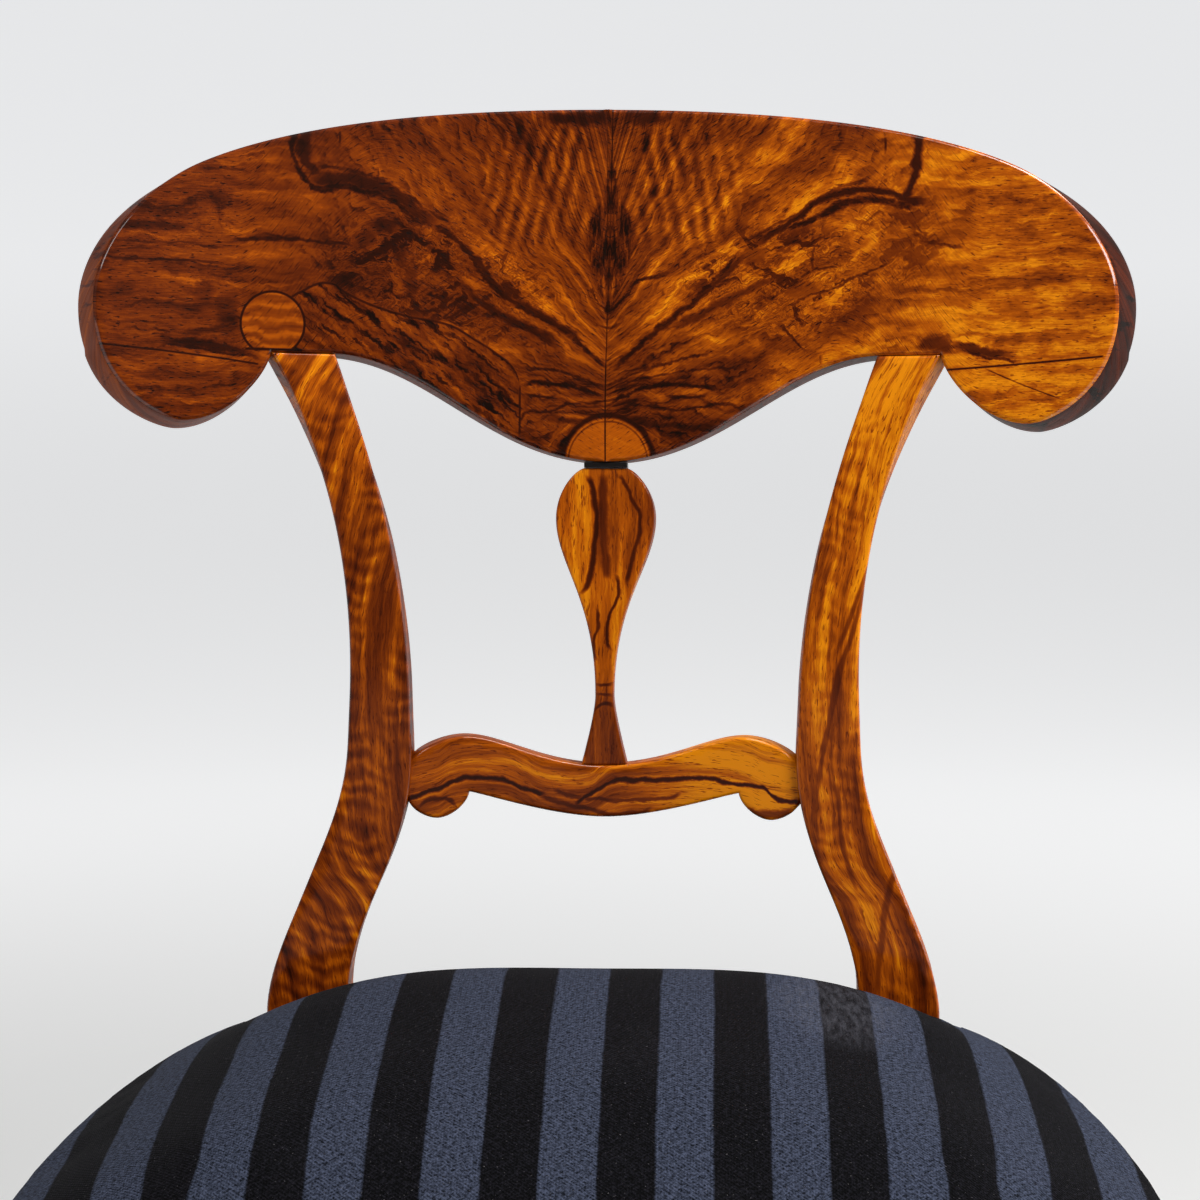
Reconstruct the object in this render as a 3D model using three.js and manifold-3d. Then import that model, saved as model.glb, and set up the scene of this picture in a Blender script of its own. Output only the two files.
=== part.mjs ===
// A side chair with a lyre back: shovel-shaped crest rail, curved stiles, vase splat,
// scrolled lower rail and a domed, stuffed-over seat. Millimetres, +Z up, +Y towards the back,
// the sitter's front faces -Y. The chair stands on Z = 0 and is centred on X = 0.
import * as THREE from 'three';
import { mergeVertices } from 'three/addons/utils/BufferGeometryUtils.js';
import Module from 'manifold-3d';

const wasm = await Module();
wasm.setup();
const { degToRad, lerp, smoothstep, clamp } = THREE.MathUtils;

// Fits
const clearance = 0.3; // gap between neighbouring pieces
const overrun = 4; // how far a cutting body passes the face it cuts
const largestEaseShare = 1 / 3; // what softened arrises may take of a section's side

// Line of the back, seen from the side: levels are measured along it from the top of the seat rails
const seatHeight = 440;
const seatRake = degToRad(4);
const topRake = degToRad(14.6);
const backCurveRadius = 1600;
const legSweepRadius = 720;
const planRadius = 685; // hollow of the back, seen from above

// Crest rail
const crestHalfWidth = 238;
const crestHeight = 164.3;
const crestLowLevel = 268.3; // lowest point of the bulge over the splat
const crestThickness = 25;
const crestFlare = 2.6; // how much larger the lobes are on the rear face
const crestEase = 2.4; // softened arrises of the core
const faceVeneer = 1.5;
const rearVeneer = 1.2;
const veneerSeam = 0.3;
const veneerEaseShare = 0.3; // softened arris of a veneer, of its thickness
// Bezier pieces of the right half from the middle of the top edge round the lobe: two handles and an
// end each, as shares of the half width and of the height above the lowest point
const crestEdgeShares = [
  [[0.47, 1], [0.695, 0.892], [0.797, 0.822]],
  [[0.897, 0.753], [1, 0.592], [1, 0.424]],
  [[1, 0.178], [0.864, 0.1], [0.824, 0.1]],
];
const lobeReturnShares = [[0.74, 0.1], [0.664, 0.217]];
const bulgeShares = [[0.416, 0], [0.63, 0.957]]; // of the way to the stile and of its rise
const crestCurvePoints = 24; // points worked out along each of the crest's curves
const crestStations = { bulge: 9, joint: 2, lobe: 7, end: 11 }; // sections of one half, by stretch

// Stiles and rear legs: half spreads are from the middle of the chair to the middle of the stile
const shoulderLevel = 317; // joint of stile and crest
const waistLevel = 160;
const hipLevel = 14;
const turnLevel = 225; // above this the stile turns to meet the hollow crest
const shoulderSpread = 140.6;
const waistSpread = 104.4;
const hipSpread = 138.3;
const rearFootSpread = 147;
const shoulderWidth = 29.3;
const neckWidth = 23.8;
const waistWidth = 27.8;
const thighWidth = 33.6;
const hipWidth = 37.5;
const rearFootWidth = 27;
const stileThickness = 24;
const rearLegDepth = 38;
const rearFootDepth = 28;
const legEase = 1.5;
const thighShares = [0.28, 0.5]; // where the stile is thigh wide, from the hip to the waist
const neckShare = 0.5; // where it is neck wide, from the waist to the shoulder
const swellShare = 0.83; // where it has taken up part of the shoulder's width
const swellWidthShare = 0.3;
const hipStraightShare = 0.15; // of the fall from the waist to the hip, before the stile turns outwards
const hipTurnPower = 1.15;
const stileCurvePoints = 90;
const rearLegStations = 44;
const legRunOut = 16; // how far a rear leg is drawn below the floor, before it is cut off there

// Lower back rail
const lowRailLevel = 102.1; // underside of its scrolls
const lowRailHeight = 38.3; // over the scrolls
const lowRailHalfSpan = 91.5; // middle of the chair to the stile
const lowRailThickness = 18;
const lowRailSetback = 2;
const lowRailEase = 1.6;
const lowRailTopShares = [
  [[0.316, 0.642], [0.515, 1], [0.7, 1]],
  [[0.823, 1], [1, 0.8], [1, 0.556]],
];
const lowRailTopStartShare = 0.642;
const lowRailSwagShares = [[[0.26, 0.016], [0.598, 0.287], [0.681, 0.321]]];
const lowRailLobeShares = [
  [[0.694, 0.154], [0.781, 0], [0.846, 0]],
  [[0.885, 0], [0.984, 0.076], [1, 0.287]],
];
const lowRailSwagStartShare = 0.016;
const lowRailScrollShare = 0.86; // of the half span, where the scroll's round end begins
const lowRailCurvePoints = 18;
const lowRailStations = { swag: 9, scroll: 6, end: 5 };

// Vase splat and the black fillet over it
const filletHeight = 2.3;
const filletHalfWidth = 10;
const filletDepth = 17;
const splatFootHalf = 10.6;
const splatWaistHalf = 4.3;
const splatBellyHalf = 22.9;
const splatNeckHalf = 9.2;
const splatWaistLevel = 159.3;
const splatBellyLevel = 242.1;
const splatThickness = 14;
const splatSetback = 3;
const splatEase = 1.2;
// Handles of the splat's edge: [place from one level to the next, place from one half width to the next]
const splatFootShares = [[0.2, 0.24], [0.77, 1]];
const splatRiseShares = [[0.546, 0], [0.737, 1]];
const splatShoulderShares = [[0.56, 0], [1, 0.68]];
const splatCurvePoints = 16;
const splatStations = { stem: 12, belly: 8 };
const filletStations = 4;

// Tenons
const stileTenon = { width: 17, thickness: 9, length: 28 };
const splatTenon = { width: 9, thickness: 6, length: 12 };
const lowRailTenon = { width: 7.4, thickness: 6, length: 13 };
const seatTenon = { width: 36, thickness: 9, length: 17 };
const tenonRise = 7; // seat tenons start this far above the rail's underside

// Seat frame
const railHeight = 58;
const railThickness = 24;
const backRailThickness = 20;
const backRailInset = 2; // in front of the rear legs' back faces
const railTuck = 16; // rails are drawn this far into the legs, then cut off at their faces
const frontHalfWidth = 231;
const seatFront = 362; // front face of the front legs
const frontBow = 6;
const frontLegSide = 42;
const frontFootSide = 26;
const frontFootSweep = 26;
const cornerRadius = 9;
const sideFlareShares = [[0.5, 0.12], [1, 0.5]]; // handles of the bowed side, of width and depth
const planStations = { side: 10, corner: 3, front: 5 };
const railStations = 14;
const frontLegStations = 14;
const leastMitreShare = 0.5; // a corner of the plan is moved outwards by twice its offset at most
const clothRebate = 2.2;
const clothDrop = 32; // the cloth reaches this far down the rails
const blockLeg = 62;
const blockHeight = 42;
const blockDrop = 8;

// Screws of the corner blocks
const screwLength = 34;
const screwRadius = 2;
const screwHeadRadius = 4;
const screwHeadHeight = 2.4;
const screwBite = 15; // length in the rail
const screwReachShare = 0.5; // place of a screw along the block's leg
const screwDrop = 10; // the screw into the side rail lies this much lower
const screwSides = 10;

// Upholstery
const strapWidth = 44;
const strapThickness = 1.5;
const lengthwiseStraps = 4;
const crosswiseStraps = 4;
const lengthwisePitch = 62;
const crosswisePitch = 72;
const crosswiseStart = 60; // behind the front rail's face to the first strap
const strapLap = 14; // rest of a strap's end on its rail
const baseClothThickness = 1;
const baseClothInset = 5;
const padOverhang = 12;
const widestRise = 5.2; // widest part of the edge roll over the rails
const rollHeight = 15.6; // of the edge roll, over its widest part
const rollPower = 5.8;
const domeHeight = 37.2; // of the crown, over the edge roll
const domePower = 4;
const domeFall = 2.04;
const domeBackHalf = 190; // half widths of the crown's rounded outline
const domeFrontHalf = 250;
const domeBackEdge = 22;
const domeFrontEdge = 368;
const domeBackPower = 3.5;
const domeFrontPower = 6;
const coverThickness = 1.6;
const coverLegGap = 0.9; // between the cover and the rear legs
const padLegGap = 1.2; // between the stuffing and the cover at the rear legs, with the cover's own gap
const cornerReach = 95; // the space for the rear legs is cut this far above and below the rails' top
const cornerStations = 6;
const edgeTurnShare = 0.85; // from here outwards the crown's rings take the edge's shape
const skirtSteps = 4;
const crownShares = [0.97, 0.91, 0.82, 0.7, 0.56, 0.4, 0.22, 0.08]; // the crown's rings, from edge to middle
const bottomClothThickness = 1;
const bottomClothInset = 7;
const cutterSize = 1448; // bodies that cut past the whole chair

// Materials
const material = (color, roughness, metalness = 0) =>
  new THREE.MeshStandardMaterial({ color, roughness, metalness });
const walnut = material(0x9a5518, 0.28);
const burl = material(0x8a4a14, 0.22);
const ebonised = material(0x15110e, 0.3);
const coreWood = material(0xc79a62, 0.6);
const stripedCloth = material(0x3c404c, 0.9);
const hair = material(0x5c4634, 0.95);
const jute = material(0xb79b6c, 0.9);
const hessian = material(0xa58a5c, 0.95);
const blackCloth = material(0x1d1c1f, 0.9);
const steel = material(0x8d8f92, 0.4, 0.9);

// Solids

function turnedOut(index, position) {
  const corner = (i) => new THREE.Vector3().fromBufferAttribute(position, index[i]);
  let volume = 0;
  for (let i = 0; i < index.length; i += 3) {
    volume += corner(i).dot(corner(i + 1).cross(corner(i + 2)));
  }
  if (volume > 0) return index;
  const flipped = index.slice();
  for (let i = 0; i < index.length; i += 3) {
    [flipped[i + 1], flipped[i + 2]] = [index[i + 2], index[i + 1]];
  }
  return flipped;
}

function solidOf(geometry) {
  const bare = geometry.clone();
  bare.deleteAttribute('normal');
  bare.deleteAttribute('uv');
  const merged = mergeVertices(bare);
  const triVerts = turnedOut(new Uint32Array(merged.index.array), merged.attributes.position);
  const vertProperties = new Float32Array(merged.attributes.position.array);
  return new wasm.Manifold(new wasm.Mesh({ numProp: 3, vertProperties, triVerts }));
}

function geometryOf(solid) {
  const mesh = solid.getMesh();
  const geometry = new THREE.BufferGeometry();
  geometry.setAttribute('position', new THREE.BufferAttribute(new Float32Array(mesh.vertProperties), 3));
  geometry.setIndex(new THREE.BufferAttribute(new Uint32Array(mesh.triVerts), 1));
  const faceted = geometry.toNonIndexed();
  faceted.computeVertexNormals();
  return faceted;
}

// Skins a row of rings, each with the same number of points, and closes both ends with a fan
function loft(rings) {
  const count = rings[0].length;
  const points = rings.flat();
  const index = [];
  for (let ring = 0; ring < rings.length - 1; ring++) {
    for (let i = 0; i < count; i++) {
      const a = ring * count + i;
      const b = ring * count + ((i + 1) % count);
      index.push(a, b, b + count, a, b + count, a + count);
    }
  }
  for (const ring of [0, rings.length - 1]) {
    const hub = points.length;
    points.push(rings[ring].reduce((sum, p) => sum.add(p), new THREE.Vector3()).divideScalar(count));
    for (let i = 0; i < count; i++) {
      const a = ring * count + i;
      const b = ring * count + ((i + 1) % count);
      index.push(...(ring === 0 ? [hub, b, a] : [hub, a, b]));
    }
  }
  const geometry = new THREE.BufferGeometry().setFromPoints(points);
  geometry.setIndex(index);
  return solidOf(geometry);
}

// Eight points round a rectangle with its corners cut off
function easedRectangle(low, high, front, back, ease) {
  const cut = Math.min(ease, (high - low) * largestEaseShare, (back - front) * largestEaseShare);
  return [
    [low + cut, front], [high - cut, front], [high, front + cut], [high, back - cut],
    [high - cut, back], [low + cut, back], [low, back - cut], [low, front + cut],
  ];
}

function extruded(outline, low, high) {
  const shape = new THREE.Shape(outline);
  const geometry = new THREE.ExtrudeGeometry(shape, { depth: high - low, bevelEnabled: false });
  return solidOf(geometry.translate(0, 0, low));
}

// A box in the coordinates of a mapping, for tenons and their mortises
function mappedBox(place, [u0, u1], [v0, v1], [d0, d1]) {
  const ring = (v) => [place(u0, v, d0), place(u1, v, d0), place(u1, v, d1), place(u0, v, d1)];
  return loft([ring(v0), ring(v1)]);
}

function bezierPoints(start, pieces, steps) {
  const path = new THREE.Path().moveTo(...start);
  pieces.forEach(([handle, nextHandle, end]) => path.bezierCurveTo(...handle, ...nextHandle, ...end));
  return path.getPoints(steps);
}

// Height of a polyline over a given x
function heightAt(points, x) {
  const rising = points[points.length - 1].x > points[0].x;
  const next = points.findIndex((p) => (rising ? p.x >= x : p.x <= x));
  if (next <= 0) return next === 0 ? points[0].y : points[points.length - 1].y;
  const [a, b] = [points[next - 1], points[next]];
  return lerp(a.y, b.y, (x - a.x) / (b.x - a.x));
}

const steps = (count, from, to) => Array.from({ length: count + 1 }, (_, i) => lerp(from, to, i / count));

// The back's surface

const curveEndLevel = backCurveRadius * (topRake - seatRake);
const legSweepLevel = -backCurveRadius * seatRake;

function backLine(level) {
  const onCurve = clamp(level, legSweepLevel, curveEndLevel);
  const rake = seatRake + onCurve / backCurveRadius;
  const y = backCurveRadius * (Math.cos(seatRake) - Math.cos(rake));
  const z = seatHeight + backCurveRadius * (Math.sin(rake) - Math.sin(seatRake));
  if (level > curveEndLevel) {
    const rest = level - curveEndLevel;
    return { y: y + rest * Math.sin(rake), z: z + rest * Math.cos(rake), rake };
  }
  if (level < legSweepLevel) {
    const turn = (legSweepLevel - level) / legSweepRadius;
    const sweep = legSweepRadius * (1 - Math.cos(turn));
    return { y: y + sweep, z: z - legSweepRadius * Math.sin(turn), rake: -turn };
  }
  return { y, z, rake };
}

// u across the hollow face, level up the back, depth behind the face
function onBack(u, level, depth) {
  const { y, z, rake } = backLine(level);
  const angle = u / planRadius;
  const out = (planRadius + depth) * Math.cos(angle) - planRadius;
  const x = (planRadius + depth) * Math.sin(angle);
  return new THREE.Vector3(x, y + out * Math.cos(rake), z - out * Math.sin(rake));
}

const backHollowAt = (spread) => planRadius * (Math.cos(spread / planRadius) - 1);
const floorLevel = legSweepLevel - legSweepRadius * Math.asin(backLine(legSweepLevel).z / legSweepRadius);

// Crest rail

const crestTopLevel = crestLowLevel + crestHeight;
const toCrest = ([across, up]) => [across * crestHalfWidth, crestLowLevel + up * crestHeight];
const shoulderOuter = shoulderSpread + shoulderWidth / 2;
const shoulderInner = shoulderSpread - shoulderWidth / 2;
const bulgeRise = shoulderLevel - crestLowLevel;
const [crestTopPieces, crestLobePieces] = [crestEdgeShares.slice(0, 2), crestEdgeShares.slice(2)];
const toCrestPieces = (pieces) => pieces.map((piece) => piece.map(toCrest));
const crestTop = bezierPoints([0, crestTopLevel], toCrestPieces(crestTopPieces), crestCurvePoints);
const crestWidest = toCrest(crestEdgeShares[1][2]);
const lobeReturn = [...lobeReturnShares.map(toCrest), [shoulderOuter, shoulderLevel]];
const lobePieces = [...toCrestPieces(crestLobePieces), lobeReturn];
const crestLobe = bezierPoints(crestWidest, lobePieces, crestCurvePoints);
const toBulge = ([across, up]) => [across * shoulderInner, crestLowLevel + up * bulgeRise];
const bulgePieces = [[...bulgeShares.map(toBulge), [shoulderInner, shoulderLevel]]];
const crestBulge = bezierPoints([0, crestLowLevel], bulgePieces, crestCurvePoints);
const lobeLowest = toCrest(crestEdgeShares[2][2])[0];

function crestLow(u) {
  const across = Math.abs(u);
  if (across <= shoulderInner) return heightAt(crestBulge, across);
  return across < shoulderOuter ? shoulderLevel : heightAt(crestLobe, across);
}
const crestHigh = (u) => heightAt(crestTop, Math.abs(u));

// The lobes widen towards the rear face
function flaredOnBack(u, level, depth) {
  const across = Math.abs(u);
  const share = depth / crestThickness;
  const lobe = smoothstep(across, shoulderInner, lobeLowest);
  const end = smoothstep(across, lobeLowest, crestHalfWidth);
  const low = level < shoulderLevel ? 1 : 0;
  const lift = crestFlare * share * (end * smoothstep(level, shoulderLevel, crestTopLevel) - lobe * low);
  return onBack(u + Math.sign(u) * crestFlare * share * end, level + lift, depth);
}

// Places along a stretch, crowded towards its start or its end
const crowdedToStart = (count, from, to) => steps(count, 0, 1).slice(1).map((t) => lerp(from, to, t * t));
const crowdedToEnd = (count, from, to) =>
  steps(count, 0, 1).slice(1).map((t) => lerp(from, to, Math.sin((t * Math.PI) / 2)));

const halfCrestStations = [
  ...steps(crestStations.bulge, 0, shoulderInner),
  ...steps(crestStations.joint, shoulderInner, shoulderOuter).slice(1),
  ...crowdedToStart(crestStations.lobe, shoulderOuter, lobeLowest),
  ...crowdedToEnd(crestStations.end, lobeLowest, crestHalfWidth).slice(0, -1),
];
const mirrored = (stations) => [...stations.slice(1).reverse().map((u) => -u), ...stations];

function crestLayer(stations, front, back, ease) {
  return loft(stations.map((u) => {
    const section = easedRectangle(crestLow(u), crestHigh(u), front, back, ease);
    return section.map(([level, depth]) => flaredOnBack(u, level, depth));
  }));
}

function tenonBox(place, u, level, reach, depth, tenon, grow = 0) {
  const half = tenon.width / 2 + grow;
  const middle = depth + tenon.thickness / 2;
  const halfThickness = tenon.thickness / 2 + grow;
  const depths = [middle - halfThickness, middle + halfThickness];
  return mappedBox(place, [u - half, u + half], [level, reach], depths);
}

const stileTenonDepth = (crestThickness - stileTenon.thickness) / 2;
function stileTenonBox(side, grow) {
  const [low, high] = [shoulderLevel - overrun, shoulderLevel + stileTenon.length + grow];
  return tenonBox(onBack, side * shoulderSpread, low, high, stileTenonDepth, stileTenon, grow);
}

const splatTenonDepth = splatSetback + (splatThickness - splatTenon.thickness) / 2;
const splatTopLevel = crestLowLevel - clearance - filletHeight - clearance;
function splatTopTenon(grow) {
  const top = crestLowLevel + splatTenon.length + grow;
  return tenonBox(onBack, 0, splatTopLevel - overrun, top, splatTenonDepth, splatTenon, grow);
}

function crestCore() {
  const body = crestLayer(
    mirrored(halfCrestStations), faceVeneer + clearance, crestThickness - rearVeneer - clearance, crestEase,
  );
  return [stileTenonBox(-1, clearance), stileTenonBox(1, clearance), splatTopTenon(clearance)]
    .reduce((solid, mortise) => solid.subtract(mortise), body);
}

function faceVeneerLeaf(side) {
  const stations = [veneerSeam / 2, ...halfCrestStations.slice(1)].map((u) => side * u);
  return crestLayer(stations, 0, faceVeneer, veneerEaseShare * faceVeneer);
}

function crestRearVeneer() {
  const front = crestThickness - rearVeneer;
  return crestLayer(mirrored(halfCrestStations), front, crestThickness, veneerEaseShare * rearVeneer);
}

// Stiles and rear legs

const fromHip = (share) => lerp(hipLevel, waistLevel, share);
const fromWaist = (share) => lerp(waistLevel, shoulderLevel, share);
const widthCurve = new THREE.SplineCurve([
  new THREE.Vector2(hipLevel, hipWidth),
  ...thighShares.map((share) => new THREE.Vector2(fromHip(share), thighWidth)),
  new THREE.Vector2(waistLevel, waistWidth),
  new THREE.Vector2(fromWaist(neckShare), neckWidth),
  new THREE.Vector2(fromWaist(swellShare), lerp(neckWidth, shoulderWidth, swellWidthShare)),
  new THREE.Vector2(shoulderLevel, shoulderWidth),
]).getPoints(stileCurvePoints);

function legSpread(level) {
  if (level >= waistLevel) {
    const rise = (level - waistLevel) / (shoulderLevel - waistLevel);
    return lerp(waistSpread, shoulderSpread, rise * rise);
  }
  if (level >= hipLevel) {
    const fall = (waistLevel - level) / (waistLevel - hipLevel);
    return lerp(waistSpread, hipSpread, smoothstep(fall, hipStraightShare, 1) ** hipTurnPower);
  }
  const drop = (hipLevel - level) / (hipLevel - floorLevel);
  return lerp(hipSpread, rearFootSpread, drop * drop);
}

const taperAt = (level) => clamp((-railHeight - level) / (-railHeight - floorLevel), 0, 1);

function legWidth(level) {
  if (level >= hipLevel) return heightAt(widthCurve, level);
  return lerp(hipWidth, rearFootWidth, taperAt(level));
}

function legDepth(level) {
  if (level < -railHeight) return lerp(rearLegDepth, rearFootDepth, taperAt(level));
  return lerp(rearLegDepth, stileThickness, smoothstep(level, 0, fromHip(thighShares[1])));
}

function onStile(side, u, level, depth) {
  const spread = legSpread(level);
  const { y, z, rake } = backLine(level);
  const out = backHollowAt(spread) + depth;
  const x = planRadius * Math.sin(spread / planRadius) + u - spread;
  const square = new THREE.Vector3(x, y + out * Math.cos(rake), z - out * Math.sin(rake));
  const point = square.lerp(onBack(u, level, depth), smoothstep(level, turnLevel, shoulderLevel));
  return point.setX(side * point.x);
}

function stileRing(side, level, { inner = 0, outer = 0, front = 0, back = 0 } = {}) {
  const half = legWidth(level) / 2;
  const spread = legSpread(level);
  const depths = [-front, legDepth(level) + back];
  const section = easedRectangle(spread - half - inner, spread + half + outer, ...depths, legEase);
  return section.map(([u, depth]) => onStile(side, u, level, depth));
}

function rearLegBody(side, grow = 0) {
  const margin = { inner: grow, outer: grow, front: grow, back: grow };
  const levels = steps(rearLegStations, floorLevel - legRunOut, shoulderLevel - clearance);
  const body = loft(levels.map((level) => stileRing(side, level, margin)));
  return body.subtract(floorCut);
}

const floorBox = new THREE.BoxGeometry(cutterSize, cutterSize, cutterSize);
const floorCut = solidOf(floorBox.translate(0, 0, -cutterSize / 2));
const rearLegBodies = new Map([-1, 1].map((side) => [side, rearLegBody(side)]));
const rearLegCutters = new Map([-1, 1].map((side) => [side, rearLegBody(side, clearance)]));

// Lower back rail

const toLowRail = ([across, up]) => [across * lowRailHalfSpan, lowRailLevel + up * lowRailHeight];
const toPieces = (shares) => shares.map((piece) => piece.map(toLowRail));
const topStart = toLowRail([0, lowRailTopStartShare]);
const swagStart = toLowRail([0, lowRailSwagStartShare]);
const swagEnd = toLowRail(lowRailSwagShares[0][2]);
const lowRailTop = bezierPoints(topStart, toPieces(lowRailTopShares), lowRailCurvePoints);
const lowRailSwag = bezierPoints(swagStart, toPieces(lowRailSwagShares), lowRailCurvePoints);
const lowRailLobe = bezierPoints(swagEnd, toPieces(lowRailLobeShares), lowRailCurvePoints);
const lowRailHigh = (u) => heightAt(lowRailTop, Math.min(Math.abs(u), lowRailHalfSpan));
function lowRailLow(u) {
  const across = Math.min(Math.abs(u), lowRailHalfSpan);
  return heightAt(across <= swagEnd[0] ? lowRailSwag : lowRailLobe, across);
}
const scrollEnd = lowRailHalfSpan * lowRailScrollShare;
const halfLowRailStations = [
  ...steps(lowRailStations.swag, 0, swagEnd[0]),
  ...crowdedToStart(lowRailStations.scroll, swagEnd[0], scrollEnd),
  ...crowdedToEnd(lowRailStations.end, scrollEnd, lowRailHalfSpan),
  lowRailHalfSpan + overrun,
];

function lowRailBody(grow = 0) {
  const front = lowRailSetback - grow;
  const back = lowRailSetback + lowRailThickness + grow;
  return loft(mirrored(halfLowRailStations).map((u) => {
    const section = easedRectangle(lowRailLow(u) - grow, lowRailHigh(u) + grow, front, back, lowRailEase);
    return section.map(([level, depth]) => onBack(u, level, depth));
  }));
}

function lowRailTenonBox(side, grow) {
  const end = toLowRail(lowRailTopShares[1][2])[1];
  const start = toLowRail(lowRailLobeShares[1][2])[1];
  const middle = (end + start) / 2;
  const half = lowRailTenon.width / 2 + grow;
  const depth = lowRailSetback + (lowRailThickness - lowRailTenon.thickness) / 2;
  const span = [lowRailHalfSpan - overrun, lowRailHalfSpan + lowRailTenon.length + grow].map((u) => side * u);
  const depths = [depth - grow, depth + lowRailTenon.thickness + grow];
  return mappedBox(onBack, span, [middle - half, middle + half], depths);
}

function splatFootTenon(grow) {
  const bottom = lowRailHigh(0) - splatTenon.length - grow;
  return tenonBox(onBack, 0, bottom, lowRailHigh(0) + overrun, splatTenonDepth, splatTenon, grow);
}

function lowerBackRail() {
  const fitted = lowRailBody()
    .subtract(rearLegCutters.get(-1))
    .subtract(rearLegCutters.get(1))
    .subtract(splatFootTenon(clearance));
  return [-1, 1].reduce((solid, side) => solid.add(lowRailTenonBox(side, 0)), fitted);
}

// Splat and fillet

function splatPiece([levelA, halfA], [levelB, halfB], shares) {
  const handles = shares.map(([along, across]) => [lerp(levelA, levelB, along), lerp(halfA, halfB, across)]);
  return [...handles, [levelB, halfB]];
}
const splatFoot = [lowRailHigh(0), splatFootHalf];
const splatWaist = [splatWaistLevel, splatWaistHalf];
const splatBelly = [splatBellyLevel, splatBellyHalf];
const splatEdge = bezierPoints(splatFoot, [
  splatPiece(splatFoot, splatWaist, splatFootShares),
  splatPiece(splatWaist, splatBelly, splatRiseShares),
  splatPiece(splatBelly, [splatTopLevel, splatNeckHalf], splatShoulderShares),
], splatCurvePoints);

function splat() {
  const levels = [
    lowRailHigh(0) - overrun,
    ...steps(splatStations.stem, lowRailHigh(0), splatBellyLevel),
    ...crowdedToEnd(splatStations.belly, splatBellyLevel, splatTopLevel),
  ];
  const body = loft(levels.map((level) => {
    const half = heightAt(splatEdge, level);
    const section = easedRectangle(-half, half, splatSetback, splatSetback + splatThickness, splatEase);
    return section.map(([u, depth]) => onBack(u, level, depth));
  }));
  return body.subtract(lowRailBody(clearance)).add(splatFootTenon(0)).add(splatTopTenon(0));
}

function fillet() {
  const depth = splatSetback + (splatThickness - filletDepth) / 2;
  const stations = steps(filletStations, -filletHalfWidth, filletHalfWidth);
  const body = loft(stations.map((u) => {
    const low = splatTopLevel + clearance;
    const section = easedRectangle(low, crestLow(u) - clearance, depth, depth + filletDepth, splatEase);
    return section.map(([level, back]) => onBack(u, level, back));
  }));
  return body.subtract(splatTopTenon(clearance));
}

// Plan of the seat, seen from above: right half from the back to the front

const legFront = backHollowAt(hipSpread);
const legOuter = planRadius * Math.sin(hipSpread / planRadius) + hipWidth / 2;
const legInner = legOuter - hipWidth;
const backFace = legFront + rearLegDepth - backRailInset;
const sideStart = new THREE.Vector2(legOuter - clearance, legFront);
const sideEnd = new THREE.Vector2(frontHalfWidth, -seatFront + cornerRadius);
const toSide = ([across, forward]) => [
  lerp(sideStart.x, sideEnd.x, across), lerp(sideStart.y, sideEnd.y, forward),
];
const sidePieces = [[...sideFlareShares.map(toSide), [sideEnd.x, sideEnd.y]]];
const sideCurve = bezierPoints([sideStart.x, sideStart.y], sidePieces, planStations.side);
const bowAt = (x) => frontBow * (1 - (x / (frontHalfWidth - frontLegSide)) ** 2);
const frontFaceAt = (x) => -seatFront - (Math.abs(x) < frontHalfWidth - frontLegSide ? bowAt(x) : 0);

function halfSeatPlan() {
  const corner = steps(planStations.corner, 0, Math.PI / 2).slice(1).map((angle) => new THREE.Vector2(
    sideEnd.x - cornerRadius * (1 - Math.cos(angle)), sideEnd.y - cornerRadius * Math.sin(angle),
  ));
  const frontPlaces = steps(planStations.front, frontHalfWidth - frontLegSide, 0);
  const front = frontPlaces.map((x) => new THREE.Vector2(x, frontFaceAt(x)));
  const back = [0, legInner, legOuter - clearance].map((x) => new THREE.Vector2(x, backFace));
  return [...back, ...sideCurve, ...corner, ...front];
}

// Closed outline of the seat, moved outwards by an offset
function seatPlan(offset) {
  const half = halfSeatPlan();
  const mirror = half.slice(1, -1).reverse().map((p) => new THREE.Vector2(-p.x, p.y));
  const outline = [...half, ...mirror];
  return outline.map((p, i) => {
    const before = outline[(i + outline.length - 1) % outline.length];
    const after = outline[(i + 1) % outline.length];
    const [a, b] = [p.clone().sub(before).normalize(), after.clone().sub(p).normalize()];
    const normal = new THREE.Vector2(-(a.y + b.y), a.x + b.x).normalize();
    const stretch = 1 / Math.max(leastMitreShare, Math.abs(normal.y * a.x - normal.x * a.y));
    return p.clone().addScaledVector(normal, offset * stretch);
  });
}

// Space kept free for the rear legs, from the inner face of each outwards and back
function rearCorner(side, grow) {
  const margin = { inner: grow, outer: legOuter, front: grow, back: legOuter };
  const levels = steps(cornerStations, -cornerReach, cornerReach);
  return loft(levels.map((level) => stileRing(side, level, margin)));
}
const cutRearCorners = (solid, grow) => solid.subtract(rearCorner(-1, grow)).subtract(rearCorner(1, grow));

// Front legs: square, tapering and swept forward; the outer faces stay in line with the frame

function frontLegBody(side, grow = 0) {
  const underside = seatHeight - railHeight;
  const heights = [...steps(frontLegStations, 0, underside), seatHeight - clearance];
  return loft(heights.map((z) => {
    const fall = clamp((underside - z) / underside, 0, 1);
    const width = lerp(frontLegSide, frontFootSide, fall);
    const front = -seatFront - frontFootSweep * fall * fall;
    const ring = easedRectangle(
      frontHalfWidth - width - grow, frontHalfWidth + grow, front - grow, front + width + grow, legEase,
    );
    return ring.map(([x, y]) => new THREE.Vector3(side * x, y, z));
  }));
}

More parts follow.
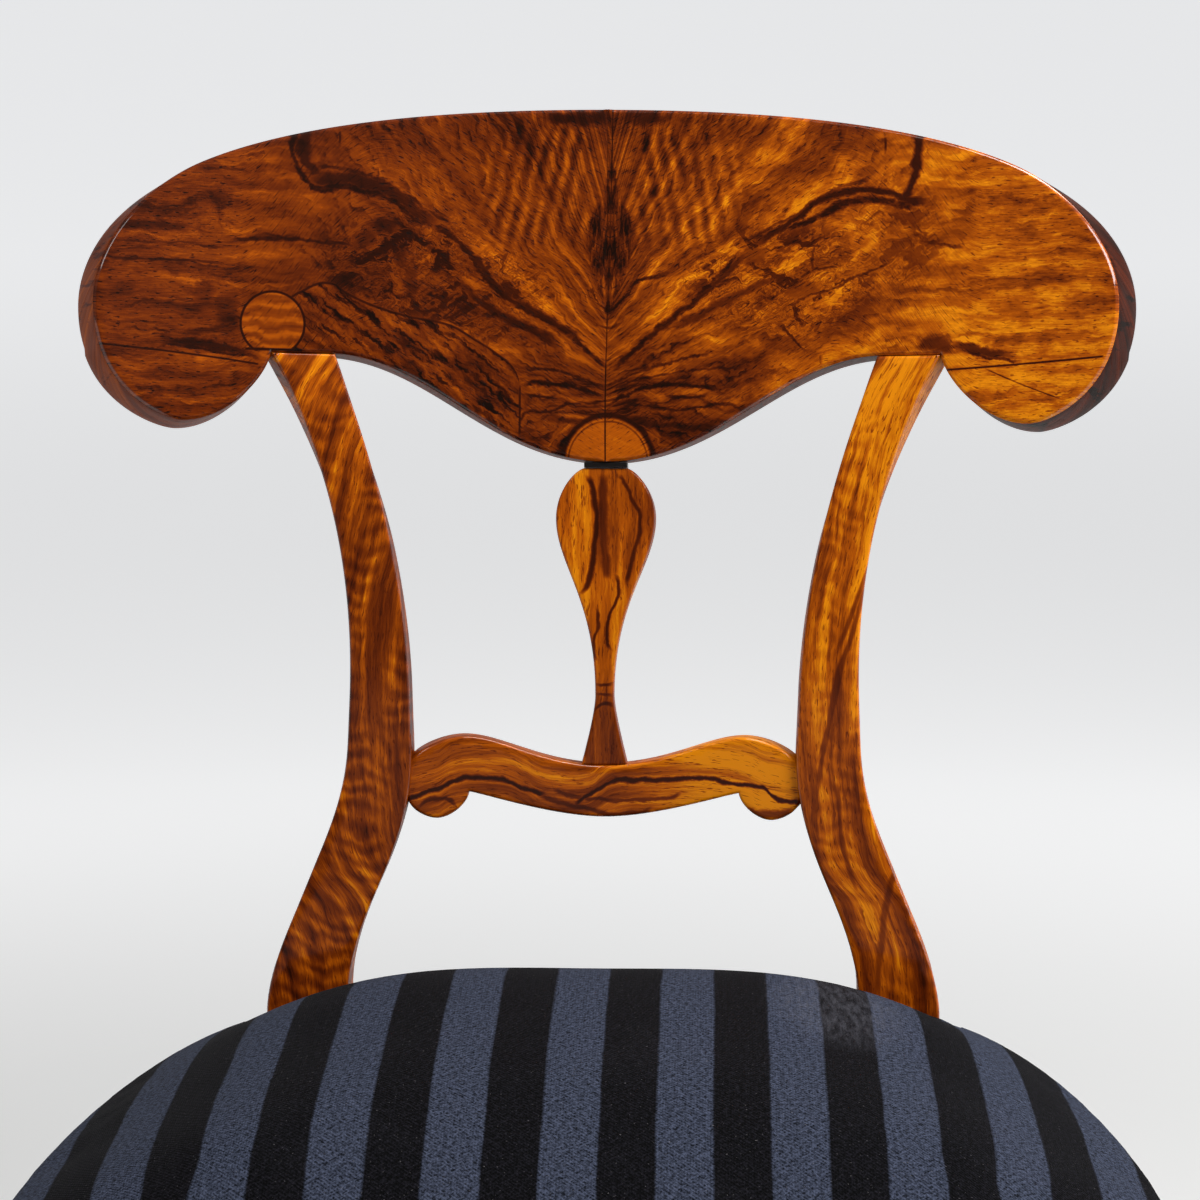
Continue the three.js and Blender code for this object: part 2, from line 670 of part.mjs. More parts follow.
const frontLegBodies = new Map([-1, 1].map((side) => [side, frontLegBody(side)]));
const frontLegCutters = new Map([-1, 1].map((side) => [side, frontLegBody(side, clearance)]));
const legCutters = [...frontLegCutters.values(), ...rearLegCutters.values()];

// Seat rails: sawn to the plan of the seat, tenoned into the legs, with a shallow rebate for the cloth

const railLow = seatHeight - railHeight;
const railTop = seatHeight - clearance;
const rebateLow = seatHeight - clothDrop;
const bandHigh = seatHeight + overrun;
const rebateBand = extruded(seatPlan(seatFront), rebateLow, bandHigh)
  .subtract(extruded(seatPlan(-clothRebate), rebateLow - overrun, bandHigh + overrun));

function bandBetween(outer, thickness, grow) {
  const inward = (p, i, list) => {
    const a = list[Math.max(i - 1, 0)];
    const b = list[Math.min(i + 1, list.length - 1)];
    return new THREE.Vector2(b.y - a.y, a.x - b.x).normalize();
  };
  const normals = outer.map(inward);
  const face = outer.map((p, i) => p.clone().addScaledVector(normals[i], -grow));
  const rear = outer.map((p, i) => p.clone().addScaledVector(normals[i], thickness + grow));
  return extruded([...face, ...rear.reverse()], railLow - grow, railTop + grow);
}

function lengthened(points, by) {
  const beyond = (end, before) => end.clone().addScaledVector(end.clone().sub(before).normalize(), by);
  const [last, beforeLast] = [points[points.length - 1], points[points.length - 2]];
  return [beyond(points[0], points[1]), ...points, beyond(last, beforeLast)];
}

function sideRailBody(side, grow = 0) {
  const run = sideCurve.filter((p) => p.y > -seatFront + frontLegSide - overrun);
  const outer = lengthened(run, railTuck).map((p) => new THREE.Vector2(side * p.x, p.y));
  return bandBetween(side > 0 ? outer : outer.reverse(), railThickness, grow);
}

function frontRailBody(grow = 0) {
  const half = frontHalfWidth - frontLegSide + overrun;
  const face = steps(railStations, half, -half).map((x) => new THREE.Vector2(x, frontFaceAt(x)));
  return bandBetween(face, railThickness, grow);
}

function backRailBody(grow = 0) {
  const half = legInner + overrun;
  const face = [-half, half].map((x) => new THREE.Vector2(x, backFace));
  return bandBetween(face, backRailThickness, grow);
}

const tenonLow = railLow + tenonRise;
function seatTenonBox([x, y], [dx, dy], grow) {
  const along = new THREE.Vector2(dx, dy).normalize();
  const start = new THREE.Vector2(x, y);
  const half = seatTenon.thickness / 2 + grow;
  const across = new THREE.Vector2(-along.y, along.x).multiplyScalar(half);
  const from = start.clone().addScaledVector(along, -overrun);
  const to = start.clone().addScaledVector(along, seatTenon.length + grow);
  const near = [from.clone().sub(across), from.clone().add(across)];
  const far = [to.clone().add(across), to.clone().sub(across)];
  return extruded([...near, ...far], tenonLow - grow, tenonLow + seatTenon.width + grow);
}

const sideTenonX = legOuter - railThickness / 2 - clothRebate;
const rearSideTenon = (side, grow) => seatTenonBox([side * sideTenonX, legFront], [0, 1], grow);
const frontSideTenon = (side, grow) =>
  seatTenonBox([side * (frontHalfWidth - railThickness / 2), -seatFront + frontLegSide], [0, -1], grow);
const frontTenonY = -seatFront + railThickness / 2 + clothRebate;
const frontTenon = (side, grow) =>
  seatTenonBox([side * (frontHalfWidth - frontLegSide), frontTenonY], [side, 0], grow);
const backTenonY = backFace - backRailThickness / 2;
const backTenon = (side, grow) => seatTenonBox([side * legInner, backTenonY], [side, 0], grow);

const cutBy = (solid, cutters) => cutters.reduce((rest, cutter) => rest.subtract(cutter), solid);
const withTenons = (solid, tenons) => tenons.reduce((sum, tenon) => sum.add(tenon), solid);

// Corner blocks and their screws

const sideByDepth = sideCurve.map((p) => new THREE.Vector2(p.y, p.x));
const sideInnerAt = (y) => heightAt(sideByDepth, y) - railThickness;

function blockPlaces(side) {
  const frontY = -seatFront + railThickness;
  const backY = backFace - backRailThickness;
  const cornerAt = (besideY, y) => new THREE.Vector2(side * sideInnerAt(besideY), y);
  return [
    { name: 'front', corner: cornerAt(frontY + blockLeg / 2, frontY), toMiddle: 1 },
    { name: 'back', corner: cornerAt(legFront, backY), toMiddle: -1 },
  ];
}

function screwSolid(head, direction, grow = 0) {
  const profile = [
    [0, -grow], [screwHeadRadius + grow, -grow], [screwHeadRadius + grow, grow],
    [screwRadius + grow, screwHeadHeight + grow], [screwRadius + grow, screwLength - screwRadius],
    [0, screwLength + grow],
  ].map(([x, y]) => new THREE.Vector2(x, y));
  const geometry = new THREE.LatheGeometry(profile, screwSides);
  const turn = new THREE.Quaternion().setFromUnitVectors(new THREE.Vector3(0, 1, 0), direction);
  return solidOf(geometry.applyQuaternion(turn).translate(head.x, head.y, head.z));
}

function screwWay(head, direction) {
  const radius = screwHeadRadius + clearance;
  const geometry = new THREE.CylinderGeometry(radius, radius, blockLeg, screwSides);
  const turn = new THREE.Quaternion().setFromUnitVectors(new THREE.Vector3(0, 1, 0), direction);
  const middle = head.clone().addScaledVector(direction, -blockLeg / 2);
  return solidOf(geometry.applyQuaternion(turn).translate(middle.x, middle.y, middle.z));
}

const blockLow = railLow + blockDrop;
const railCutters = [
  sideRailBody(-1, clearance), sideRailBody(1, clearance), frontRailBody(clearance), backRailBody(clearance),
];

function blockScrews(side, { corner, toMiddle }) {
  const z = blockLow + blockHeight / 2;
  const away = blockLeg * screwReachShare;
  const depth = screwLength - screwBite;
  const acrossHead = new THREE.Vector3(corner.x - side * away, corner.y + toMiddle * depth, z);
  const along = new THREE.Vector3(0, -toMiddle, 0);
  const sideY = corner.y + toMiddle * away;
  const sideX = side * (sideInnerAt(Math.min(sideY, legFront)) - depth);
  const sideHead = new THREE.Vector3(sideX, sideY, z - screwDrop);
  return [[acrossHead, along], [sideHead, new THREE.Vector3(side, 0, 0)]];
}

function cornerBlock(side, place) {
  const { corner, toMiddle } = place;
  const intoRail = corner.x + side * railThickness / 2;
  const outline = [
    new THREE.Vector2(intoRail, corner.y - toMiddle * overrun),
    new THREE.Vector2(corner.x - side * blockLeg, corner.y - toMiddle * overrun),
    new THREE.Vector2(intoRail, corner.y + toMiddle * blockLeg),
  ];
  const body = cutBy(extruded(outline, blockLow, blockLow + blockHeight), [...railCutters, ...legCutters]);
  const screws = blockScrews(side, place);
  const cut = screws.flatMap(([head, direction]) => [
    screwSolid(head, direction, clearance), screwWay(head, direction),
  ]);
  const pieces = cutBy(body, cut).decompose();
  return pieces.reduce((largest, piece) => (piece.volume() > largest.volume() ? piece : largest));
}

const allScrews = [-1, 1].flatMap((side) => blockPlaces(side).flatMap((place) => blockScrews(side, place)));
const screwHoles = allScrews.map(([head, direction]) => screwSolid(head, direction, clearance));

// Webbing, woven over and under

const strapBase = seatHeight;
const strapLift = strapThickness + clearance;
function centred(count, pitch) {
  const half = ((count - 1) * pitch) / 2;
  return steps(count - 1, -half, half);
}
const lengthwisePlaces = centred(lengthwiseStraps, lengthwisePitch);
const crosswisePlaces = steps(crosswiseStraps - 1, 0, crosswiseStraps - 1)
  .map((i) => -seatFront + crosswiseStart + crosswisePitch * i);

// A strap's run from one end to the other, lifted where it goes over a strap it crosses
function strap(from, to, crossings, isOver, place) {
  const half = strapWidth / 2;
  const run = crossings.flatMap((at, i) => {
    const lift = isOver(i) ? strapLift : 0;
    return [[at - half - strapLift, lift], [at + half + strapLift, lift]];
  });
  const line = [[from, 0], ...run, [to, 0]];
  return loft(line.map(([along, lift]) => {
    const low = strapBase + lift;
    const high = low + strapThickness;
    const corners = [[-half, low], [half, low], [half, high], [-half, high]];
    return corners.map(([across, z]) => place(across, along, z));
  }));
}

function lengthwiseStrap(i) {
  const place = (across, along, z) => new THREE.Vector3(lengthwisePlaces[i] + across, along, z);
  const front = -seatFront + railThickness - strapLap;
  const back = backFace - backRailThickness + strapLap;
  return strap(front, back, crosswisePlaces, (j) => (i + j) % 2 === 0, place);
}

function crosswiseStrap(j) {
  const place = (across, along, z) => new THREE.Vector3(along, crosswisePlaces[j] - across, z);
  const inner = [-1, 1].map((edge) => sideInnerAt(crosswisePlaces[j] + (edge * strapWidth) / 2));
  const end = Math.min(...inner) + strapLap;
  return strap(-end, end, lengthwisePlaces, (i) => (i + j) % 2 === 1, place);
}

// Stuffing and cloth

const baseClothLow = strapBase + strapLift + strapThickness + clearance;
const padLow = baseClothLow + baseClothThickness + clearance;
const crownMiddle = (domeBackEdge - domeFrontEdge) / 2;
const crownHalfDepth = (domeBackEdge + domeFrontEdge) / 2;
const crownHalfWidthAt = (forward) => lerp(domeBackHalf, domeFrontHalf, (1 + forward) / 2);

// A ring of the crown, a share of the way from the middle to the edge: the rings are rounded rectangles
// that take the edge's own shape near the edge
function crownRing(edge, share, z) {
  const towardsEdge = smoothstep(share, edgeTurnShare, 1);
  return edge.map((p) => {
    const forward = (crownMiddle - p.y) / crownHalfDepth;
    const across = p.x / crownHalfWidthAt(forward);
    const power = forward > 0 ? domeFrontPower : domeBackPower;
    const rounded = (Math.abs(across) ** power + Math.abs(forward) ** power) ** (-1 / power);
    const scale = share * lerp(Math.min(rounded, 1 / share), 1, towardsEdge);
    const ahead = forward * scale;
    const x = across * scale * crownHalfWidthAt(ahead);
    return new THREE.Vector3(x, crownMiddle - ahead * crownHalfDepth, z);
  });
}

// The cushion's outer form, or one drawn in by an inset, down to a given height: sides that swell out
// to the edge roll, and a crowned top
function cushion(inset, low) {
  const widest = seatHeight + widestRise;
  const skirt = steps(skirtSteps, low, widest).map((z) => {
    const rise = clamp((z - rebateLow) / (widest - rebateLow), 0, 1);
    const out = padOverhang * Math.sin((rise * Math.PI) / 2);
    return seatPlan(out - clearance - inset).map((p) => new THREE.Vector3(p.x, p.y, z));
  });
  const edge = seatPlan(padOverhang - clearance - inset);
  const crown = crownShares.map((share) => {
    const roll = rollHeight * Math.sqrt(1 - share ** rollPower);
    const dome = domeHeight * (1 - share ** domePower) ** domeFall;
    return crownRing(edge, share, widest + roll + dome - inset);
  });
  return loft([...skirt, ...crown]);
}

// Below the top of the rails the cloth only lies on their outer faces; above, it lines the rear corners
function seatCover() {
  const outer = cutRearCorners(cushion(0, rebateLow + clearance), coverLegGap);
  const inner = cutRearCorners(cushion(coverThickness, rebateLow - overrun), coverLegGap + coverThickness);
  const frame = extruded(seatPlan(-clearance - coverThickness), rebateLow - overrun, seatHeight);
  return outer.subtract(inner).subtract(frame);
}

function stuffingPad() {
  return cutRearCorners(cushion(coverThickness + clearance, padLow), padLegGap + coverThickness);
}

function baseCloth() {
  const body = extruded(seatPlan(-baseClothInset), baseClothLow, baseClothLow + baseClothThickness);
  return cutRearCorners(body, padLegGap + coverThickness);
}

function bottomCloth() {
  const top = railLow - clearance;
  return cutBy(extruded(seatPlan(-bottomClothInset), top - bottomClothThickness, top), legCutters);
}

// Assembly

const assembly = new THREE.Group();
function piece(name, solid, look) {
  const mesh = new THREE.Mesh(geometryOf(solid), look);
  mesh.name = name;
  assembly.add(mesh);
}

const sides = [[-1, 'left'], [1, 'right']];

piece('crest_core', crestCore(), coreWood);
sides.forEach(([side, word]) => piece(`crest_face_veneer_${word}`, faceVeneerLeaf(side), burl));
piece('crest_rear_veneer', crestRearVeneer(), walnut);
piece('lower_back_rail', lowerBackRail(), walnut);
piece('vase_splat', splat(), walnut);
piece('splat_fillet', fillet(), ebonised);

for (const [side, word] of sides) {
  const rearMortises = [
    lowRailTenonBox(side, clearance),
    rearSideTenon(side, clearance),
    backTenon(side, clearance),
    ...screwHoles,
  ];
  const rearLeg = cutBy(rearLegBodies.get(side), rearMortises);
  piece(`rear_leg_${word}`, rearLeg.add(stileTenonBox(side, 0)), walnut);
  const frontMortises = [
    frontTenon(side, clearance),
    frontSideTenon(side, clearance),
    rebateBand,
    ...screwHoles,
  ];
  piece(`front_leg_${word}`, cutBy(frontLegBodies.get(side), frontMortises), walnut);
  const sideRail = cutBy(sideRailBody(side), [...legCutters, rebateBand, ...screwHoles]);
  piece(`side_rail_${word}`, withTenons(sideRail, [rearSideTenon(side, 0), frontSideTenon(side, 0)]), walnut);
}
const frontRail = cutBy(frontRailBody(), [...legCutters, rebateBand, ...screwHoles]);
piece('front_rail', withTenons(frontRail, [frontTenon(-1, 0), frontTenon(1, 0)]), walnut);
const backRail = cutBy(backRailBody(), [...legCutters, rebateBand, ...screwHoles]);
piece('back_rail', withTenons(backRail, [backTenon(-1, 0), backTenon(1, 0)]), walnut);

for (const [side, word] of sides) {
  for (const place of blockPlaces(side)) {
    piece(`corner_block_${place.name}_${word}`, cornerBlock(side, place), coreWood);
    blockScrews(side, place).forEach(([head, direction], i) => {
      piece(`block_screw_${place.name}_${word}_${i + 1}`, screwSolid(head, direction), steel);
    });
  }
}

lengthwisePlaces.forEach((_, i) => piece(`webbing_lengthwise_${i + 1}`, lengthwiseStrap(i), jute));
crosswisePlaces.forEach((_, j) => piece(`webbing_crosswise_${j + 1}`, crosswiseStrap(j), jute));
piece('base_cloth', baseCloth(), hessian);
piece('stuffing_pad', stuffingPad(), hair);
piece('seat_cover', seatCover(), stripedCloth);
piece('bottom_cloth', bottomCloth(), blackCloth);

// The origin lies on the floor, under the middle of the whole chair
const bounds = new THREE.Box3().setFromObject(assembly);
assembly.position.set(0, -(bounds.min.y + bounds.max.y) / 2, -bounds.min.z);

const chair = new THREE.Group();
chair.add(assembly);
export default chair;
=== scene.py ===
"""Lyre back dining chair: veneered and polished back, and a stuffed seat in striped cloth.

Laid out as an add-on: sizes and colours in property groups, an operator for each piece or group of like
pieces, and a panel that lists them. Lengths in the shape functions are millimetres in the back's own
directions: u across from the middle, v up along the curved back, d in behind its front face.
"""
import math

import bmesh
import bpy
import numpy as np
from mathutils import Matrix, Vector, kdtree
from mathutils.geometry import delaunay_2d_cdt


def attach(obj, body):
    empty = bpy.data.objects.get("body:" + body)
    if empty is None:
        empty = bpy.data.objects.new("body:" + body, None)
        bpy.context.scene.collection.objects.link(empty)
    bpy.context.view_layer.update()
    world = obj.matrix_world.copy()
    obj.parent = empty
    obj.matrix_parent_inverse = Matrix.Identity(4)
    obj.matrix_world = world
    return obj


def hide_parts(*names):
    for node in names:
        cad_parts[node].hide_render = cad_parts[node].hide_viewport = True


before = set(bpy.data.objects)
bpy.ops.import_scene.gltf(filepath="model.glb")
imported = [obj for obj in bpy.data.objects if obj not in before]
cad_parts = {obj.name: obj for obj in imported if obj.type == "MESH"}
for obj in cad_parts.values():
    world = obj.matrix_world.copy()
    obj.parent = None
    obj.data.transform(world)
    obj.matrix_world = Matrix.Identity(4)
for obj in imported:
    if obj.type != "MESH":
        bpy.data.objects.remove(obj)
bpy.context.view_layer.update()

bl_info = {
    "name": "Lyre back chair",
    "version": (1, 0, 0),
    "blender": (4, 5, 0),
    "location": "3D View > Sidebar > Chair",
    "description": "Makes a lyre back dining chair with figured veneer and a striped stuffed seat",
    "category": "Add Mesh",
}

MM = 0.001
REAR_SHIFT = 140.85       # from the back's own origin to the frame's
SEAT_LEVEL = 440.0
HOLLOW = 685.0            # radius of the back's hollow, seen from above
RAKE = math.radians(4.0)  # lean of the back at the seat
CURVE = 1600.0            # radius of the back's lean, seen from the side
CURVE_END = CURVE * math.radians(10.6)
SWEEP_LEVEL = -CURVE * RAKE
SWEEP = 720.0             # radius of the rear legs' sweep
FLOOR_LEVEL = -452.7

CREST_LOW, CREST_HIGH, CREST_HALF = 268.3, 432.6, 238.0
CREST_THICK, FACE_VENEER = 25.0, 1.5
SHOULDER, LOBE_IN, LOBE_OUT = 317.0, 125.95, 196.1
STILE_TOP = 316.7
FLARE = 2.6               # how far the crest's rear edge reaches past its front edge

# Stile and rear leg: levels where their form changes, then widths, spreads and depths there
LEG_TOP, SEAT_RISE, THIN_FROM, WAIST, HOLLOW_FROM = -58.0, 14.0, 87.0, 160.0, 225.0
STILE_WIDTHS = ((14, 37.5), (54.9, 33.6), (87, 33.6), (160, 27.8), (238.5, 23.8), (290.3, 25.45), (317, 29.3))
LEG_WIDTH, FOOT_WIDTH = 37.5, 27.0
WAIST_SPREAD, TOP_SPREAD, SEAT_SPREAD, FOOT_SPREAD = 104.4, 140.6, 138.3, 147.0
LEG_DEPTH, FOOT_DEPTH, STILE_DEPTH = 38.0, 28.0, 24.0

# Lower rail and splat, which reach from one level to another; the rail's half length
RAIL_HALF, RAIL_LOW, RAIL_RISE = 91.5, 102.1, 38.3
RAIL_FRONT, RAIL_REAR, SPLAT_FRONT, SPLAT_REAR = 2.0, 20.0, 3.0, 17.0  # depths behind the back's face
SPLAT_PLACES = ((126.69, 10.6), (159.3, 4.3), (242.1, 22.9), (265.4, 9.2))


# Curves and maps of the back

def lerp(a, b, share):
    return a + (b - a) * share


def smooth(x, low, high):
    share = np.clip((np.asarray(x, float) - low) / (high - low), 0, 1)
    return share * share * (3 - 2 * share)


def bezier(start, pieces, count):
    """Points of a chain of cubic curves, each given by two handles and its end."""
    points, here = [np.array(start, float)], np.array(start, float)
    for one, two, end in pieces:
        one, two, end = (np.array(p, float) for p in (one, two, end))
        for t in np.linspace(0, 1, count + 1)[1:]:
            s = 1 - t
            points.append(s**3 * here + 3 * s * s * t * one + 3 * s * t * t * two + t**3 * end)
        here = end
    return np.array(points)


def spline(places, at):
    """Catmull-Rom curve through (position, value) places."""
    xs, ys = np.array(places, float).T
    slope = np.gradient(ys, xs)
    slope[1:-1] = (ys[2:] - ys[:-2]) / (xs[2:] - xs[:-2])
    at = np.clip(at, xs[0], xs[-1])
    k = np.clip(np.searchsorted(xs, at, side="right") - 1, 0, len(xs) - 2)
    wide = xs[k + 1] - xs[k]
    t = (at - xs[k]) / wide
    return ((2 * t**3 - 3 * t**2 + 1) * ys[k] + (t**3 - 2 * t**2 + t) * wide * slope[k]
            + (3 * t**2 - 2 * t**3) * ys[k + 1] + (t**3 - t**2) * wide * slope[k + 1])


def back_line(level):
    """Depth, height and lean of the back's face on the middle plane."""
    level = np.asarray(level, float)
    bent = np.clip(level, SWEEP_LEVEL, CURVE_END)
    lean = RAKE + bent / CURVE
    y = CURVE * (math.cos(RAKE) - np.cos(lean))
    z = SEAT_LEVEL + CURVE * (np.sin(lean) - math.sin(RAKE))
    rest = np.maximum(level - CURVE_END, 0)
    turn = np.maximum(SWEEP_LEVEL - level, 0) / SWEEP
    y = y + rest * np.sin(lean) + SWEEP * (1 - np.cos(turn))
    z = z + rest * np.cos(lean) - SWEEP * np.sin(turn)
    return y, z, lean - turn


def placed(x, y, z):
    return np.stack(np.broadcast_arrays(x, y + REAR_SHIFT, z), axis=-1) * MM


def on_back(across, level, depth):
    y, z, lean = back_line(level)
    across = np.asarray(across, float)
    out = (HOLLOW + depth) * np.cos(across / HOLLOW) - HOLLOW
    return placed((HOLLOW + depth) * np.sin(across / HOLLOW), y + out * np.cos(lean), z - out * np.sin(lean))


def on_crest(across, level, depth):
    """The crest's rear edge flares a little, so that its edges show from the front."""
    across, level = np.asarray(across, float), np.asarray(level, float)
    share = np.asarray(depth, float) / CREST_THICK
    lobe = smooth(np.abs(across), LOBE_IN, LOBE_OUT)
    end = smooth(np.abs(across), LOBE_OUT, CREST_HALF)
    low = np.where(level < SHOULDER, 1.0, 0.0)
    lift = FLARE * share * (end * smooth(level, SHOULDER, CREST_HIGH) - lobe * low)
    return on_back(across + np.sign(across) * FLARE * share * end, level + lift, depth)


def leg_taper(level):
    return np.clip((LEG_TOP - level) / (LEG_TOP - FLOOR_LEVEL), 0, 1)


def stile_width(level):
    return np.where(level < SEAT_RISE, lerp(LEG_WIDTH, FOOT_WIDTH, leg_taper(level)),
                    spline(STILE_WIDTHS, np.maximum(level, SEAT_RISE)))


def stile_spread(level):
    """Distance of the stile's own middle line from the chair's, at each level."""
    high = lerp(WAIST_SPREAD, TOP_SPREAD, np.clip((level - WAIST) / (SHOULDER - WAIST), 0, 1) ** 2)
    middle = lerp(WAIST_SPREAD, SEAT_SPREAD, smooth((WAIST - level) / (WAIST - SEAT_RISE), 0.15, 1) ** 1.15)
    foot = lerp(SEAT_SPREAD, FOOT_SPREAD, np.clip((SEAT_RISE - level) / (SEAT_RISE - FLOOR_LEVEL), 0, 1) ** 2)
    return np.where(level >= WAIST, high, np.where(level >= SEAT_RISE, middle, foot))


def stile_depth(level):
    return np.where(level < LEG_TOP, lerp(LEG_DEPTH, FOOT_DEPTH, leg_taper(level)),
                    lerp(LEG_DEPTH, STILE_DEPTH, smooth(level, 0, THIN_FROM)))


def on_stile(side, across, level, depth):
    """Square to the chair low down, and on the back's hollow further up; never below the floor."""
    across, level = np.asarray(across, float), np.asarray(level, float)
    spread = stile_spread(level)
    y, z, lean = back_line(level)
    out = HOLLOW * (np.cos(spread / HOLLOW) - 1) + depth
    square = placed(HOLLOW * np.sin(spread / HOLLOW) + across - spread, y + out * np.cos(lean),
                    z - out * np.sin(lean))
    place = lerp(square, on_back(across, level, depth), smooth(level, HOLLOW_FROM, SHOULDER)[..., None])
    place[..., 2] = np.maximum(place[..., 2], 0)
    return place * np.array([side, 1, 1])


# Boards: an outline on the back's surface, given a thickness and soft arrises

def evenly(outline, step):
    """The closed outline with points no further apart than a step; its own corners are kept."""
    points = []
    for a, b in zip(outline, np.roll(outline, -1, axis=0)):
        count = max(1, int(math.ceil(np.linalg.norm(b - a) / step)))
        points += [lerp(a, b, k / count) for k in range(count)]
    return np.array(points)


def beside(outline):
    """Direction to the left of the outline at each point, lengthened at its corners."""
    edge = np.roll(outline, -1, axis=0) - outline
    edge = edge / np.linalg.norm(edge, axis=1)[:, None]
    normal = np.stack([-edge[:, 1], edge[:, 0]], axis=1)
    both = normal + np.roll(normal, 1, axis=0)
    both = both / np.maximum(np.linalg.norm(both, axis=1), 1e-6)[:, None]
    return both / np.maximum((both * normal).sum(axis=1), 0.6)[:, None]


def inside(outline, points):
    hit = np.zeros(len(points), bool)
    for (ax, ay), (bx, by) in zip(outline, np.roll(outline, -1, axis=0)):
        if ay != by:
            crossing = (points[:, 1] > min(ay, by)) & (points[:, 1] <= max(ay, by))
            hit ^= crossing & (points[:, 0] < ax + (points[:, 1] - ay) * (bx - ax) / (by - ay))
    return hit


def filled(ring, grid):
    """Points added inside a ring, and the triangles of both."""
    low, high = ring.min(axis=0), ring.max(axis=0)
    us, vs = np.arange(low[0], high[0], grid), np.arange(low[1], high[1], grid)
    points = np.stack(np.meshgrid(us, vs), axis=-1).reshape(-1, 2)
    points[:, 0] += np.where((np.arange(len(points)) // len(us)) % 2, grid / 2, 0)
    points = points[inside(ring, points)]
    clear = np.full(len(points), np.inf)
    for part in np.array_split(np.arange(len(ring)), max(1, len(ring) // 60)):
        clear = np.minimum(clear, np.linalg.norm(points[:, None] - ring[None, part], axis=2).min(axis=1))
    points = points[clear > grid * 0.55]
    corners = [Vector(p) for p in np.concatenate([ring, points])]
    rim = [(k, (k + 1) % len(ring)) for k in range(len(ring))]
    _, _, faces, source, _, _ = delaunay_2d_cdt(corners, rim, [], 1, 1e-6)
    return points, [tuple(source[k][0] for k in face) if all(source[k] for k in face) else None for face in faces]


def strips(loops, count, base=0):
    """Faces between closed loops of the same number of points, one loop after the other."""
    return [(base + k * count + i, base + k * count + j, base + (k + 1) * count + j, base + (k + 1) * count + i)
            for k in range(loops - 1) for i, j in ((i, (i + 1) % count) for i in range(count))]


def made(name, points, faces, values=None):
    """A smooth-shaded object from points in metres, with named values at its points."""
    mesh = bpy.data.meshes.new(name)
    mesh.from_pydata([tuple(p) for p in points], [], faces)
    for title, value in (values or {}).items():
        field = mesh.attributes.new(title, "FLOAT_VECTOR", "POINT")
        field.data.foreach_set("vector", np.asarray(value, np.float32).ravel())
    shape = bmesh.new()
    shape.from_mesh(mesh)
    bmesh.ops.recalc_face_normals(shape, faces=shape.faces)
    shape.to_mesh(mesh)
    shape.free()
    mesh.shade_smooth()
    piece = bpy.data.objects.new(name, mesh)
    bpy.context.scene.collection.objects.link(piece)
    return piece


# Corner profiles, as shares of the corner's radius: inwards from the outline, and down from the face
ROUND = [(1 - math.cos(a), 1 - math.sin(a)) for a in np.radians([0, 22.5, 45, 67.5, 90])]
EDGE_STEP = 5.0           # spacing of points across the boards' edges, in millimetres
BEVEL = ((0, 1), (0.05, 0.87), (0.14, 0.74), (0.80, 0.14), (0.96, 0.05), (1.2, 0))


def board(name, outline, place, front, back, ease=(1.2, 1.2), grid=3.0, step=1.6, corner=None):
    """A board between two depths, which may vary with the level, with eased front and rear arrises."""
    outline = evenly(np.asarray(outline, float), step)
    area = np.sum(outline[:, 0] * np.roll(outline[:, 1], -1) - outline[:, 1] * np.roll(outline[:, 0], -1))
    if area < 0:
        outline = outline[::-1]
    into = beside(outline)
    depth_at = [f if callable(f) else (lambda level, flat=f: np.full(np.shape(level), float(flat)))
                for f in (front, back)]
    ease_at = [e if callable(e) else (lambda ring, flat=e: np.full(len(ring), float(flat))) for e in ease]
    turned = ([], [])
    for end, sign in ((0, 1), (1, -1)):
        radius = ease_at[end](outline)
        for across, down in (corner if corner and end == 0 else ROUND):
            ring = outline + into * (radius * across)[:, None]
            turned[end].append((ring, depth_at[end](ring[:, 1]) + sign * radius * down))
    first, last = turned[0][0][1], turned[1][0][1]
    rows = int(max(0, round(float(np.max(last - first)) / EDGE_STEP) - 1))
    middle = [(outline, lerp(first, last, (k + 1) / (rows + 1))) for k in range(rows)]
    loops = turned[0][::-1] + middle + turned[1]
    flat = [np.column_stack([ring, depth]) for ring, depth in loops]
    count = len(outline)
    faces = strips(len(loops), count)
    for loop, start, end in ((loops[0], 0, 0), (loops[-1], (len(loops) - 1) * count, 1)):
        extra, triangles = filled(loop[0], grid)
        base = sum(len(f) for f in flat)
        flat.append(np.column_stack([extra, depth_at[end](extra[:, 1])]))
        faces += [tuple(start + k if k < count else base + k - count for k in face) for face in triangles if face]
    flat = np.concatenate(flat)
    return made(name, place(flat[:, 0], flat[:, 1], flat[:, 2]), faces, {"board": flat})


# Shader kit

def tone(red, green, blue):
    """A colour as seen on a screen, 0 to 255, as the numbers that a shader takes."""
    parts = [c / 255 for c in (red, green, blue)]
    return tuple(c / 12.92 if c <= 0.04045 else ((c + 0.055) / 1.055) ** 2.4 for c in parts) + (1.0,)


